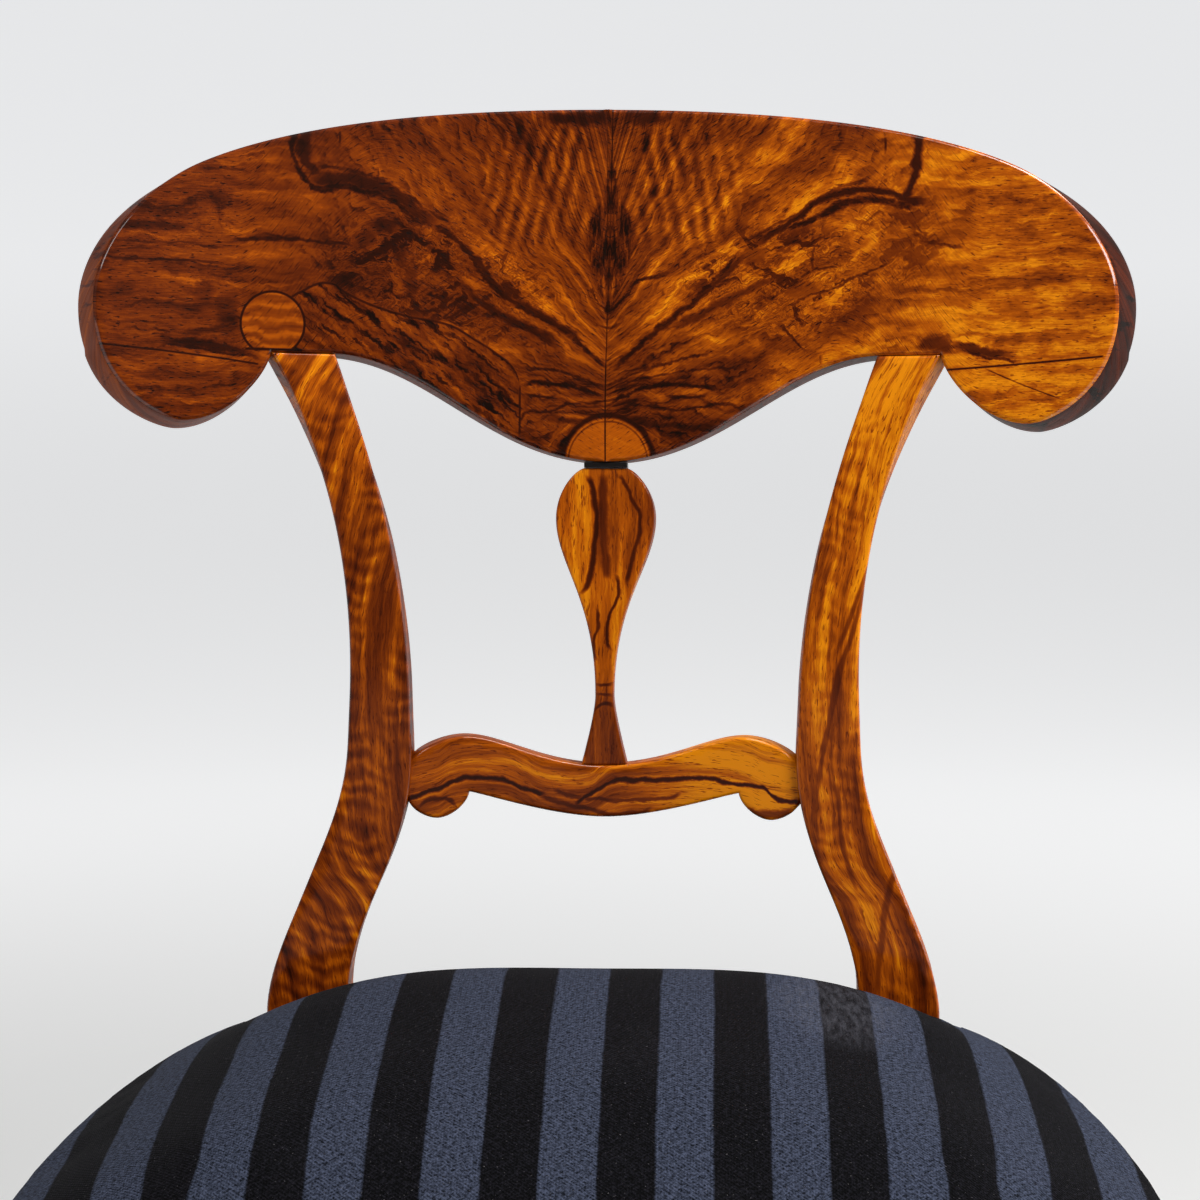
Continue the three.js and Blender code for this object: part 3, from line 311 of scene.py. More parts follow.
class Value:
    """One output of a node; Python's operators on it add Math nodes."""

    def __init__(self, tree, socket):
        self.tree, self.socket = tree, socket

    def math(self, operation, first, second=None):
        sockets = {0: first} if second is None else {0: first, 1: second}
        return self.tree.node("ShaderNodeMath", {"operation": operation}, sockets)

    def __add__(self, other):
        return self.math("ADD", self, other)

    __radd__ = __add__

    def __sub__(self, other):
        return self.math("SUBTRACT", self, other)

    def __rsub__(self, other):
        return self.math("SUBTRACT", other, self)

    def __mul__(self, other):
        return self.math("MULTIPLY", self, other)

    __rmul__ = __mul__

    def __truediv__(self, other):
        return self.math("DIVIDE", self, other)

    def __pow__(self, other):
        return self.math("POWER", self, other)

    def __abs__(self):
        return self.math("ABSOLUTE", self)

    def sine(self):
        return self.math("SINE", self)

    def most(self, other):
        return self.math("MAXIMUM", self, other)


class Finish:
    """A procedural material under construction."""

    def __init__(self, name):
        self.material = bpy.data.materials.new(name)
        self.material.use_nodes = True
        self.tree = self.material.node_tree
        self.tree.nodes.clear()

    def node(self, kind, settings=None, sockets=None, output=0):
        """Adds a node: its settings first, then the values or links of its sockets."""
        added = self.tree.nodes.new(kind)
        for key, value in (settings or {}).items():
            if key == "stops":
                stops = added.color_ramp.elements
                while len(stops) < len(value):
                    stops.new(0.5)
                for stop, (position, colour) in zip(stops, value):
                    stop.position, stop.color = position, colour
            elif key == "course":
                curve = added.mapping.curves[0]
                while len(curve.points) < len(value):
                    curve.points.new(0.5, 0.5)
                for point, place in zip(curve.points, value):
                    point.location = place
                added.mapping.update()
            else:
                setattr(added, key, value)
        for key, value in (sockets or {}).items():
            if isinstance(value, Value):
                self.tree.links.new(value.socket, added.inputs[key])
            else:
                added.inputs[key].default_value = value
        return Value(self, added.outputs[output])

    def field(self, name):
        return self.node("ShaderNodeAttribute", {"attribute_name": name}, output=1)

    def parts(self, vector):
        split = self.node("ShaderNodeSeparateXYZ", sockets={0: vector})
        return tuple(Value(self, out) for out in split.socket.node.outputs)

    def joined(self, x, y, z=0.0):
        return self.node("ShaderNodeCombineXYZ", sockets={0: x, 1: y, 2: z})

    def place(self):
        """The object's own coordinates in millimetres."""
        place = self.node("ShaderNodeTexCoord", output=3)
        return self.node("ShaderNodeVectorMath", {"operation": "SCALE"}, {0: place, 3: 1000.0})

    def noise(self, x, y, z=0.0, detail=3.0, roughness=0.5):
        """Fractal noise around 0.5, one lump per unit."""
        return self.node("ShaderNodeTexNoise", {"noise_dimensions": "3D"},
                         {0: self.joined(x, y, z), 2: 1.0, 3: detail, 4: roughness, 8: 0.0})

    def sway(self, reach, x, y, z=0.0, detail=3.0, roughness=0.5):
        """Noise around zero; reach is the span from its lowest to its highest."""
        return (self.noise(x, y, z, detail, roughness) - 0.5) * reach

    def wave(self, x, length):
        return (x * (2 * math.pi / length)).sine()

    def step(self, x, low, high, start=0.0, end=1.0):
        """A soft step of x between two values; the result runs from start to end."""
        if low > high:
            low, high, start, end = high, low, end, start
        settings = {"interpolation_type": "SMOOTHSTEP"}
        return self.node("ShaderNodeMapRange", settings, {0: x, 1: low, 2: high, 3: start, 4: end})

    def band(self, x, low, high, soft):
        return self.step(x, low - soft, low + soft) * self.step(x, high + soft, high - soft)

    def curve(self, x, places):
        """A smooth function of x through given places."""
        xs, ys = zip(*sorted(places))
        low, high = min(ys), max(ys)
        tall = max(high - low, 1e-3)
        course = [((a - xs[0]) / (xs[-1] - xs[0]), (b - low) / tall) for a, b in zip(xs, ys)]
        share = (x - xs[0]) / (xs[-1] - xs[0])
        return self.node("ShaderNodeFloatCurve", {"course": course}, {1: share}) * tall + low

    def line(self, x, y, places, width, fade=5.0, uneven=1.0):
        """Mask of a line y(x) through given places, fading at its ends; uneven scales its width."""
        ends = sorted(p[0] for p in places)
        off = abs(y - self.curve(x, places)) / uneven
        run = self.step(x, ends[0] - fade * 0.3, ends[0] + fade) * self.step(x, ends[-1] + fade * 0.3, ends[-1] - fade)
        return self.step(off, width, width * 0.25) * run

    def spot(self, x, y, centre, reach, soft=0.35):
        """Mask of an oval spot."""
        a, b = (x - centre[0]) / reach[0], (y - centre[1]) / reach[1]
        return self.step(a * a + b * b, 1 + soft, 1 - soft)

    def ramp(self, share, stops):
        return self.node("ShaderNodeValToRGB", {"stops": stops}, {0: share})

    def mix(self, share, one, two, kind="MIX"):
        return self.node("ShaderNodeMix", {"data_type": "RGBA", "blend_type": kind}, {0: share, 6: one, 7: two}, 2)

    def done(self, colour, rough, bump=None, depth=0.0002, coat=None, **settled):
        """Adds the shader and the output; settled values go straight on the shader's own sockets."""
        sockets = {"Base Color": colour, "Roughness": rough}
        if bump is not None:
            sockets["Normal"] = self.node("ShaderNodeBump", sockets={"Strength": 1.0, "Distance": depth,
                                                                     "Height": bump})
        if coat is not None:
            sockets["Coat Weight"] = coat
        sockets.update({key.replace("_", " "): value for key, value in settled.items()})
        shader = self.node("ShaderNodeBsdfPrincipled", sockets=sockets)
        output = self.tree.nodes.new("ShaderNodeOutputMaterial")
        self.tree.links.new(shader.socket, output.inputs["Surface"])
        return self.material


# Walnut

WALNUT = (
    (0.0, tone(20, 5, 0)), (0.18, tone(58, 17, 1)), (0.38, tone(100, 36, 2)),
    (0.56, tone(134, 56, 2)), (0.76, tone(184, 87, 3)), (1.0, tone(238, 142, 9)),
)
POLISH = {"Specular_IOR_Level": 0.05, "Coat_Roughness": 0.08, "Coat_IOR": 1.6}

# Dark bands and lines of the crest's veneer: run along u or v, half width, strength, places (run, other)
CREST_BANDS = (
    ("v", 5.0, .75, ((428, -143), (419, -141), (410, -141.5), (402, -137), (396, -131))),
    ("u", 5.5, .75, ((-139, 399), (-131, 397.5), (-122, 398.5), (-108, 395.5), (-97, 390), (-86, 382), (-76, 377))),
    ("u", 3.6, .75, ((-80, 378), (-68, 369), (-58, 358), (-48, 346), (-36, 339), (-20, 330), (-8, 320))),
    ("u", 4.2, .7, ((-70, 351), (-60, 343), (-48, 335), (-34, 329), (-20, 322))),
    ("v", 3.6, .85, ((428, 146), (416, 145), (408, 144.5), (400, 143), (392, 140), (382, 132))),
    ("u", 3.2, .85, ((66, 368), (80, 376), (92, 384), (104, 391), (118, 394), (130, 392), (142, 388), (152, 388))),
    ("u", 3.4, .75, ((14, 322), (26, 331), (38, 341), (50, 351), (58, 358), (68, 368))),
    ("u", 3.2, .6, ((30, 330), (42, 336), (56, 343), (70, 350), (84, 354))),
    ("u", 3.6, .6, ((-236, 372), (-214, 374), (-192, 370))),
    ("u", 3.0, .55, ((-200, 324), (-186, 326), (-172, 330))),
    ("u", 3.2, .8, ((-32, 430), (-18, 428), (-4, 429))), ("u", 2.8, .7, ((8, 430), (18, 428), (30, 430))),
    ("u", 3.2, .8, ((-208, 321), (-192, 320), (-162, 316))),
    ("u", 3.0, .7, ((158, 322), (172, 319), (190, 315))),
    ("u", 2.6, .6, ((-30, 290), (-12, 287), (-2, 291))), ("u", 2.6, .6, ((4, 291), (20, 286), (40, 284), (56, 287))),
)
CREST_LINES = (
    ("u", 2.4, .95, ((-146, 404), (-141, 398), (-136, 393.5), (-122, 394.5), (-112, 392.5), (-102, 389.5),
                     (-94, 384.5), (-86, 377.5))),
    ("v", 2.0, .95, ((421, -145), (414, -146.5), (408, -146), (400, -142), (394, -137))),
    ("u", 1.5, .7, ((-137, 404), (-122, 402.5), (-108, 399), (-97, 393), (-86, 386), (-72, 377))),
    ("u", 2.4, .85, ((-88, 379), (-72, 372.5), (-66, 366.5), (-59, 356.5), (-51, 347.5), (-39, 339.5), (-29, 334.5),
                     (-17, 327.5), (-7, 318.5), (0, 311.5))),
    ("u", 1.3, .75, ((-175, 367), (-156, 369.5), (-137, 369), (-115, 367))),
    ("v", 1.6, .8, ((416, 145), (408, 144), (402, 143), (395, 141))),
    ("u", 2.6, .9, ((81, 375), (94, 379.5), (101, 383), (108, 387), (116, 389), (124, 389), (134, 387), (144, 386))),
    ("u", 1.4, .7, ((123, 399), (108, 395), (94, 387), (84, 381), (73, 375), (64, 371))),
    ("u", 2.6, .9, ((62, 368), (58, 361), (51, 354.5), (43, 346.5), (33, 336.5), (23, 329.5), (11, 318), (3, 312))),
    ("u", 1.1, .7, ((83, 341), (98, 346), (113, 352), (133, 360))),
    ("v", 1.2, .6, ((375, 97), (365, 96), (355, 97))),
    ("u", 1.6, .75, ((79, 333), (87, 325), (94, 318))),
    ("u", 1.2, .7, ((143, 370), (154, 368), (165, 366))),
    ("u", 1.6, .9, ((-10, 352), (-6, 346), (-2, 341), (.5, 338.5), (5, 341), (10, 347), (16, 353), (23, 354),
                    (30, 356))),
    ("u", 1.1, .6, ((-7, 338), (1, 330), (9, 337))),
    ("u", 1.5, .95, ((-39, 304), (-24, 304), (-12, 302), (-2, 297.5))),
    ("u", 1.5, .95, ((1, 294), (9, 299), (23, 303.5), (38, 304), (53, 302))),
    ("u", 1.1, .7, ((-39, 312), (-17, 309), (0, 300))),
    ("u", 1.0, .65, ((3, 304), (18, 311), (33, 315), (48, 318))),
    ("u", 1.0, .65, ((3, 300), (18, 307), (33, 310), (63, 312))),
    ("u", 1.2, .85, ((-37, 299.5), (-30, 298), (-23, 300.5))),
    ("u", 1.2, .85, ((27, 301), (35, 298), (48, 300))),
    ("u", 1.2, .75, ((-37, 292), (-27, 291.5), (-17, 295), (-2, 295))),
    ("u", 1.2, .75, ((5, 295), (23, 294), (33, 292), (43, 293), (53, 295), (63, 291))),
    ("u", 0.9, .9, ((-19, 270), (-18, 277), (-14, 283), (-8, 287), (0, 289.5), (8, 288), (15, 285), (20, 280),
                    (22, 271))),
    ("u", 0.7, .7, ((-17, 270), (-16, 276), (-12, 281.5), (-7, 285.5), (0, 288), (7, 286.5), (13, 283.5), (18, 279),
                    (20, 271))),
    ("u", 1.2, .5, ((-232, 372), (-205, 373), (-184, 371))),
    ("u", 1.0, .5, ((-236, 364), (-212, 366), (-178, 364))),
    ("u", 0.9, .5, ((-232, 357), (-200, 358), (-178, 356))),
    ("u", 1.1, .5, ((-190, 400), (-178, 401), (-166, 400))),
    ("u", 0.8, .45, ((198, 337), (206, 337.5))),
    ("v", 0.8, .8, ((421, -125), (417, -124.5), (413, -125))),
    ("v", 0.8, .8, ((419, 129), (414, 129.5), (410, 129))),
    ("u", 1.3, .85, ((-207, 319), (-194, 318), (-161, 314))),
    ("u", 1.2, .8, ((163, 320), (176, 316), (193, 312.5))),
    ("u", 0.5, .7, ((176, 310), (194, 302), (212, 295))),
)
# Dark spots: centre, reach, strength
CREST_SPOTS = (
    ((-112, 370), (5, 5), .7), ((-103, 377), (7, 3.4), .75), ((-96, 364), (3.4, 6), .7), ((-91, 350), (3.2, 7), .65),
    ((-225, 344), (7, 3), .4), ((-187, 344), (5, 4), .45), ((-176, 334), (5, 10), .55), ((68, 364), (6, 5), .6),
    ((92, 347), (9, 6), .5), ((153, 322), (7, 4.4), .8), ((-9, 428), (11, 3.4), .85), ((16, 428.5), (8, 3), .75),
    ((0, 273.5), (1, 1), .8),
)


def fibres(wood, along, across, seed):
    """Soft streaks, fine fibres and open pores of a board, from its directions with and across the grain."""
    streak = wood.noise(along * 0.011, across * 0.13, seed, detail=7.0, roughness=0.6)
    fine = wood.noise(along * 0.08, across * 1.3, seed + 4.0, detail=4.0, roughness=0.72)
    dash = wood.noise(along * 0.20, across * 1.35, seed + 9.0, detail=1.5, roughness=0.5)
    pores = wood.step(dash, 0.61, 0.68)
    return streak, fine, pores


def polished(wood, share, pores, relief, deep, arris):
    """French-polished walnut from a share of the walnut tones.

    deep is 1 on the boards' edges, which are dull, and arris is 1 on their eased corners, which shine.
    """
    colour = wood.ramp(share, WALNUT)
    clouds = wood.noise(*[part * 0.02 for part in wood.parts(wood.place())], detail=3.0)
    rough = 0.42 + pores * 0.2 + (clouds - 0.5) * 0.16
    coat = (0.13 - pores * 0.06 + (clouds - 0.5) * 0.08) * (1.0 - deep) + arris * 0.84
    return wood.done(colour, rough, relief - pores * 0.6, 0.00012, coat, **POLISH)


def crest_veneer():
    wood = Finish("figured_crest_veneer")
    u, v, d = wood.parts(wood.field("board"))
    drift = wood.noise(u * 0.02, v * 0.02, 3.0, detail=2.0) - 0.5
    curly = wood.noise(u * 0.045, v * 0.05, 13.0, detail=3.0, roughness=0.55) - 0.5
    jag_u = wood.sway(7.0, u * 0.13, v * 0.13, 11.0, detail=5.0, roughness=0.65)
    jag_v = wood.sway(6.0, u * 0.11, v * 0.15, 17.0, detail=5.0, roughness=0.65)
    rag = wood.noise(u * 0.10, v * 0.16, 23.0, detail=5.0, roughness=0.7)
    seam = wood.curve(v, ((268, -.2), (297, -.4), (330, .3), (371, 1.4), (432, 2.4)))
    side = u - seam
    right = wood.step(side, -0.3, 0.3)
    away = abs(side)
    middle = wood.step(away, 0.0, 26.0)
    fan = (v - 292.0 + (drift * 16.0 + curly * 22.0) * middle) / (1.0 + away / 28.0)
    ends = wood.step(away, 95.0, 175.0)
    level = 17.5 + (v - 400.0) * 0.162 + drift * 3.0
    stream = fan + (level - fan) * ends
    streak = wood.noise(stream * 0.19, away * 0.011, right * 0.35 + 2.0, detail=8.0, roughness=0.7)
    flat = wood.noise(u * 0.014, (v + curly * 14.0) * 0.15, right * 3.0 + 6.0, detail=8.0, roughness=0.66)
    streak = streak + (flat - streak) * ends * 0.8
    near = 1.0 - ends
    slant = v - away * 0.62 * near
    dash = wood.noise(away * 0.24, slant * 1.25, 5.0, detail=1.5, roughness=0.5)
    pores = wood.step(dash, 0.62, 0.68)
    hairs = wood.noise(away * 0.10, slant * 1.5, 9.0, detail=4.0, roughness=0.75)
    # Tone across the crest, darker at the left end and lighter towards the right: partly the leaves' own tone, partly
    # painted light, from how the light falls across the hollow.
    base = wood.curve(u, ((-240, .39), (-200, .40), (-150, .46), (-100, .51), (-55, .54), (-20, .52), (0, .50),
                          (25, .61), (60, .67), (110, .76), (150, .79), (190, .71), (240, .64)))
    base = base + wood.step(v, 345.0, 325.0) * wood.step(u, 135.0, 165.0) * 0.14 - wood.step(v, 402.0, 424.0) * 0.13
    base = base - wood.step(v, 335.0, 312.0) * wood.band(u, 4.0, 75.0, 4.0) * 0.14
    band = wood.curve(u, ((-60, 366), (-45, 354), (-25, 341), (0, 324), (25, 340), (45, 353), (60, 364)))
    gold = wood.step(abs(v + jag_v - band), 15.0, 3.0) * wood.step(away, 62.0, 48.0)
    mottle = wood.noise(u * 0.07 + jag_u * 0.12, v * 0.12 + jag_v * 0.12, 83.0, detail=4.0, roughness=0.62) - 0.5
    share = base + (streak - 0.5) * 1.8 + gold * 0.09 + (hairs - 0.5) * 0.6 + mottle * (0.35 + right * 0.4)

    tooth = stream * (0.42 - ends * 0.2) + curly * 1.6 + flat * ends * 1.5
    tooth = tooth.math("FRACT", tooth)
    growth = wood.step(tooth, 0.55, 1.0) * wood.step(rag, 0.42, 0.62) * (1.0 - ends * 0.35)
    share = share - growth * 0.26

    bars = wood.wave(away + v * 0.20 + jag_u * 0.5 + curly * 5.0, 7.2)
    curl = wood.band(away, 10.0, 58.0, 8.0) * wood.band(v, 370.0, 426.0, 8.0)
    broken = wood.step(wood.noise(away * 0.06, v * 0.03, 61.0, detail=3.0), 0.38, 0.58)
    share = share + (bars - 0.3) * curl * (0.35 + broken * 0.65) * 0.17

    width = wood.curve(v, ((334, 0), (345, 3.5), (358, 8), (372, 10.5), (386, 7), (400, 2), (412, 0)))
    diamond = wood.step(away - width + jag_v * 0.9, 1.2, -1.2) * wood.band(v, 335.0, 408.0, 3.0)
    flames = wood.noise(away * 0.34 + jag_u * 0.1, v * 0.07 + jag_v * 0.05, 21.0, detail=5.0, roughness=0.75)
    share = share + (flames * 2.6 - 1.1 - share) * diamond * 0.9

    cluster = wood.noise((u + curly * 60.0) * 0.045, (v + curly * 40.0) * 0.07, 71.0, detail=7.0, roughness=0.72)
    where = wood.spot(u, v, (-97, 360), (38, 26), 0.6).most(wood.spot(u, v, (-58, 345), (30, 22), 0.6) * 0.8)
    where = where.most(wood.spot(u, v, (80, 352), (44, 26), 0.6) * 0.85)
    where = where.most(wood.spot(u, v, (135, 372), (22, 30), 0.6) * 0.5)
    where = where.most(wood.spot(u, v, (-205, 385), (34, 26), 0.6) * 0.35)
    rim = wood.step(abs(cluster - 0.475), 0.045, 0.0) * where * 0.5
    dark = (wood.step(cluster, 0.495, 0.585) * where * 0.9).most(rim)

    below = wood.band(v, 268.0, 308.0, 3.0) * wood.step(away, 76.0, 36.0)
    arch = wood.noise(away * 0.035, stream * 0.42 + curly, 31.0, detail=5.0, roughness=0.7)
    share = share + below * (arch - 0.56) * 1.3
    oval = wood.spot(u, v, (1.0, 268.0), (20.0, 20.5), 0.08)
    share = share + (0.72 + (streak - 0.5) * 0.5 + (hairs - 0.5) * 0.4 - share) * oval
    uneven = 0.25 + rag * 1.5
    faded = 0.6 + 0.4 * wood.step(rag, 0.36, 0.56)
    ways = {"u": (u + jag_u, v + jag_v), "v": (v + jag_v, u + jag_u)}
    rough = uneven * (0.55 + streak * 0.8)
    for axis, width, strength, places in CREST_BANDS:
        run, other = ways[axis]
        dark = dark.most(wood.line(run, other, places, width, 9.0, rough) * strength)
    lines = dark * 0.0
    fine_ways = {"u": (u, v), "v": (v, u)}
    for axis, width, strength, places in CREST_LINES:
        run, other = fine_ways[axis] if width < 1.0 else ways[axis]
        lines = lines.most(wood.line(run, other, places, width, 5.0, uneven) * strength)
    dark = dark.most(lines * faded)
    loose_u, loose_v = u + jag_u * 1.5, v + jag_v * 1.5
    for centre, reach, strength in CREST_SPOTS:
        dark = dark.most(wood.spot(loose_u, loose_v, centre, reach, 0.9) * (strength * 0.85))
    dark = dark * (1.0 - oval * 0.9)
    arcs = wood.noise(u * 0.2, v * 0.2, 37.0) * 0.8
    arch = ((u - 1.0) * (u - 1.0) / 400.0 + (v - 268.0) * (v - 268.0) / 420.0) ** 0.5 + jag_u * 0.006
    dark = dark.most(wood.step(abs(arch - 1.06), 0.10, 0.02) * 0.85)
    dark = dark.most(wood.step(abs(arch - 0.92), 0.03, 0.01) * arcs)
    hair = wood.step(away, 0.45, 0.1) * (0.5 + 0.45 * wood.step(v, 318.0, 309.0) + 0.35 * wood.step(v, 396.0, 404.0))
    dark = dark.most(hair)
    share, dark = repairs(wood, u, v, jag_u, jag_v, share, dark)
    share = share * (1.0 - dark * 0.95)
    return polished(wood, share - pores * 0.34, pores * 0.7, (streak - 0.5) * 0.3 + (hairs - 0.5) * 0.5,
                    wood.step(d, 1.1, 1.8), wood.band(d, 0.25, 1.1, 0.15))


def repairs(wood, u, v, jag_u, jag_v, share, dark):
    """A round patch and a wedge let into the veneer, and the joints of the lower lobes."""
    x, y = u + 155.0, v - 330.0
    radius = (x * x + y * y) ** 0.5
    cut = wood.step(v, 317.6, 318.4)
    patch = wood.step(radius, 15.2, 14.6) * cut
    rim = wood.step(abs(radius - 14.8), 0.8, 0.25) * wood.step(v, 316.5, 317.5)
    rim = rim.most(wood.step(abs(v - 318.0), 0.9, 0.3) * wood.step(abs(u + 154.5), 13.6, 12.8))
    sway = wood.noise(u * 0.07, v * 0.03, 41.0, detail=3.0) - 0.5
    ripple = wood.wave(v + sway * 16.0, 5.6)
    plain = 0.56 + ripple * 0.11 + wood.sway(0.5, u * 0.05, v * 0.5, 43.0, detail=4.0)
    top = wood.curve(u, ((-148, 341), (-142, 345), (-129, 349.5), (-121, 345), (-110, 340), (-93, 335), (-73, 331),
                         (-62, 325), (-51, 318), (-43, 311), (-40, 300)))
    low = wood.curve(u, ((-148, 317), (-126, 317), (-112, 300), (-84, 281), (-60, 273), (-40, 270)))
    wedge = wood.step(v - top, 0.4, -0.4) * wood.step(v - low, -2.0, 1.0)
    wedge = wedge * wood.band(u, -148.0, -40.5, 0.4) * (1.0 - patch)
    along, across = u * 0.76 - v * 0.65 + jag_u, v * 0.76 + u * 0.65 + jag_v * 1.2
    blotch = wood.noise(along * 0.035, across * 0.15, 51.0, detail=6.0, roughness=0.7)
    flick = wood.step(wood.noise(along * 0.05, across * 0.26, 53.0, detail=4.0, roughness=0.62), 0.50, 0.60)
    slanted = 0.38 + (blotch - 0.5) * 1.9 - flick * 0.36
    line = wood.step(abs(v - top), 0.9, 0.3) * wood.band(u, -150.0, -40.0, 0.6)
    line = line.most(wood.step(abs(u + 40.0), 0.7, 0.25) * wood.band(v, 281.0, 303.0, 1.5)) * (1.0 - patch)
    joint = wood.line(u, v, ((-238, 318.4), (-221, 317.2), (-193.7, 314.9), (-161.2, 311)), 0.7, 1.0)
    joint = joint.most(wood.line(u, v, ((156, 309.6), (190, 311.5), (231.4, 314.2)), 0.7, 1.0))
    dark = dark * (1.0 - wedge) * (1.0 - patch)
    dark = dark.most(rim * 0.9).most(line * 0.7).most(joint * 0.85)
    share = share + (slanted - share) * wedge
    share = share + (plain - share) * patch
    return share, dark


STILE_LINES = {
    -1: (
        (2.2, .6, ((300, -147), (280, -140), (250, -130), (225, -122), (200, -117))),
        (1.8, .6, ((282, -121), (262, -115), (240, -107))),
        (2.0, .6, ((245, -116), (215, -109), (200, -103), (185, -97), (170, -93))),
        (2.0, .6, ((180, -117), (150, -109), (120, -102), (105, -97))),
        (1.6, .55, ((175, -112), (150, -105), (115, -98))),
        (2.4, .7, ((58, -131), (40, -129), (20, -127))), (1.8, .6, ((35, -147), (20, -145))),
        (1.8, .6, ((55, -117), (18, -115))),
    ),
    1: (
        (1.4, .5, ((215, 121), (190, 115), (165, 107), (140, 103), (115, 99))),
        (1.2, .5, ((185, 113), (155, 106), (130, 100))),
        (1.8, .45, ((85, 138), (60, 131), (20, 128))), (1.3, .5, ((230, 126), (205, 117), (180, 108))),
        (1.2, .45, ((120, 108), (95, 111), (70, 118))),
    ),
}


def stile_walnut(side):
    """Walnut of a stile and its leg: the grain runs along it, with a cross ripple."""
    wood = Finish("stile_walnut_left" if side < 0 else "stile_walnut_right")
    u, v, d = wood.parts(wood.field("board"))
    bow = wood.curve(v, ((-460, 147), (-60, 140), (14, 138), (60, 128), (105, 107), (160, 104.4), (225, 112),
                         (317, 141)))
    across = u - bow
    jag = wood.sway(7.0, across * 0.14, v * 0.05, 3.0 + side, detail=4.0)
    streak, fine, pores = fibres(wood, v, across + jag * 0.5 + d * 0.35, 12.0 + 5 * side)
    # Painted light: the right stile's tone is set lighter than the left one's, as the light falls on it more; along
    # each stile the tone is lighter towards the top.
    if side < 0:
        base = wood.curve(v, ((-460, .36), (-40, .46), (40, .53), (100, .52), (160, .50), (220, .53), (270, .62),
                              (316, .66)))
    else:
        base = wood.curve(v, ((-460, .42), (-40, .56), (60, .65), (130, .72), (200, .78), (240, .84), (275, .87),
                              (316, .83)))
    sway = wood.noise(across * 0.05, v * 0.03, 35.0 + side, detail=3.0) - 0.5
    ripple = wood.wave(v + jag * 0.6 + sway * 26.0 + across * 0.3, 8.6)
    ripple = ripple * wood.step(wood.noise(across * 0.06, v * 0.014, 33.0 + side), 0.35, 0.6)
    strength = 0.12 if side < 0 else 0.07
    tooth = (across + jag * 0.7 + sway * 8.0) * 0.16
    tooth = tooth.math("FRACT", tooth)
    rag = wood.noise(across * 0.2, v * 0.03, 37.0 + side, detail=5.0, roughness=0.7)
    dark = (pores * 0.4).most(wood.step(tooth, 0.6, 1.0) * wood.step(rag, 0.44, 0.62) * 0.42)
    for width, strong, places in STILE_LINES[side]:
        points = [(level, across_at * side) for level, across_at in places]
        dark = dark.most(wood.line(v + jag, u + jag * 0.5, points, width * 1.3, 9.0, 0.3 + rag * 1.4) * strong)
    share = base + (streak - 0.5) * 1.8 + (fine - 0.5) * 0.6 + ripple * strength
    return polished(wood, share * (1.0 - dark * 0.88), pores, (fine - 0.5) * 0.4 + ripple * 0.2,
                    wood.step(d, 1.2, 3.0), wood.band(d, 0.25, 1.1, 0.15))


def board_walnut(name, turned, tones, lines, front):
    """Walnut of a small board; turned boards have their grain upright, others follow the rail's sway."""
    wood = Finish(name)
    u, v, d = wood.parts(wood.field("board"))
    jag = wood.sway(4.0, u * 0.12, v * 0.12, 7.0, detail=4.0)
    along, across = (v, u) if turned else (u, v)
    sway = across if turned else (across - wood.curve(u, RAIL_SWAY) * 0.85) * 1.3
    streak, fine, pores = fibres(wood, along + jag, sway + jag * 0.6 + d * 0.5, 3.5)
    tonal = wood.curve(u, tones)
    if turned:
        tonal = tonal + wood.step(v, 225.0, 205.0) * 0.16 - wood.step(v, 168.0, 152.0) * 0.22
    rag = wood.noise(u * 0.12, v * 0.16, 29.0, detail=5.0, roughness=0.7)
    share = tonal + (streak - 0.5) * 1.6 + (fine - 0.5) * 0.5
    dark = pores * 0.38
    for axis, width, strength, places in lines:
        run, other = (u + jag * 0.5, v + jag) if axis == "u" else (v + jag, u + jag * 0.5)
        dark = dark.most(wood.line(run, other, places, width * 1.25, 3.0, 0.3 + rag * 1.4) * strength)
    return polished(wood, share * (1.0 - dark * 0.88), pores, (fine - 0.5) * 0.3,
                    wood.step(d, front + 1.4, front + 2.6), wood.band(d, front + 0.25, front + 1.2, 0.15))


# Tones across the rail and the splat, the sway of the rail's grain, and their dark lines
RAIL_TONES = ((-92, .66), (-60, .70), (-30, .68), (0, .70), (30, .84), (60, 1.02), (92, .97))
SPLAT_TONES = ((-24, .86), (-12, .80), (-4, .62), (4, .60), (12, .64), (24, .60))
RAIL_SWAY = ((-92, 110), (-77, 115), (-59, 121), (-47, 120), (-37, 116), (-14, 109), (-2, 114), (8, 119), (23, 120),
             (48, 121), (63, 119), (78, 113), (92, 111))
RAIL_LINES = (
    ("u", 1.5, .95, ((-92, 111), (-77, 116), (-59, 121), (-47, 120), (-37, 116), (-27, 113))),
    ("u", 1.4, .95, ((-14, 108), (-2, 116), (8, 120), (23, 120), (48, 121), (63, 119), (73, 118), (78, 113), (86, 111),
                    (92, 112))),
    ("u", 1.4, .6, ((-30, 112), (-10, 107), (8, 104), (22, 107))),
    ("u", 1.1, .6, ((-24, 117), (-4, 111), (18, 111), (36, 115))),
    ("u", 1.3, .7, ((-86, 107), (-77, 111), (-68, 106))),
    ("u", 2.6, .6, ((66, 107), (77, 105), (88, 108))),
)
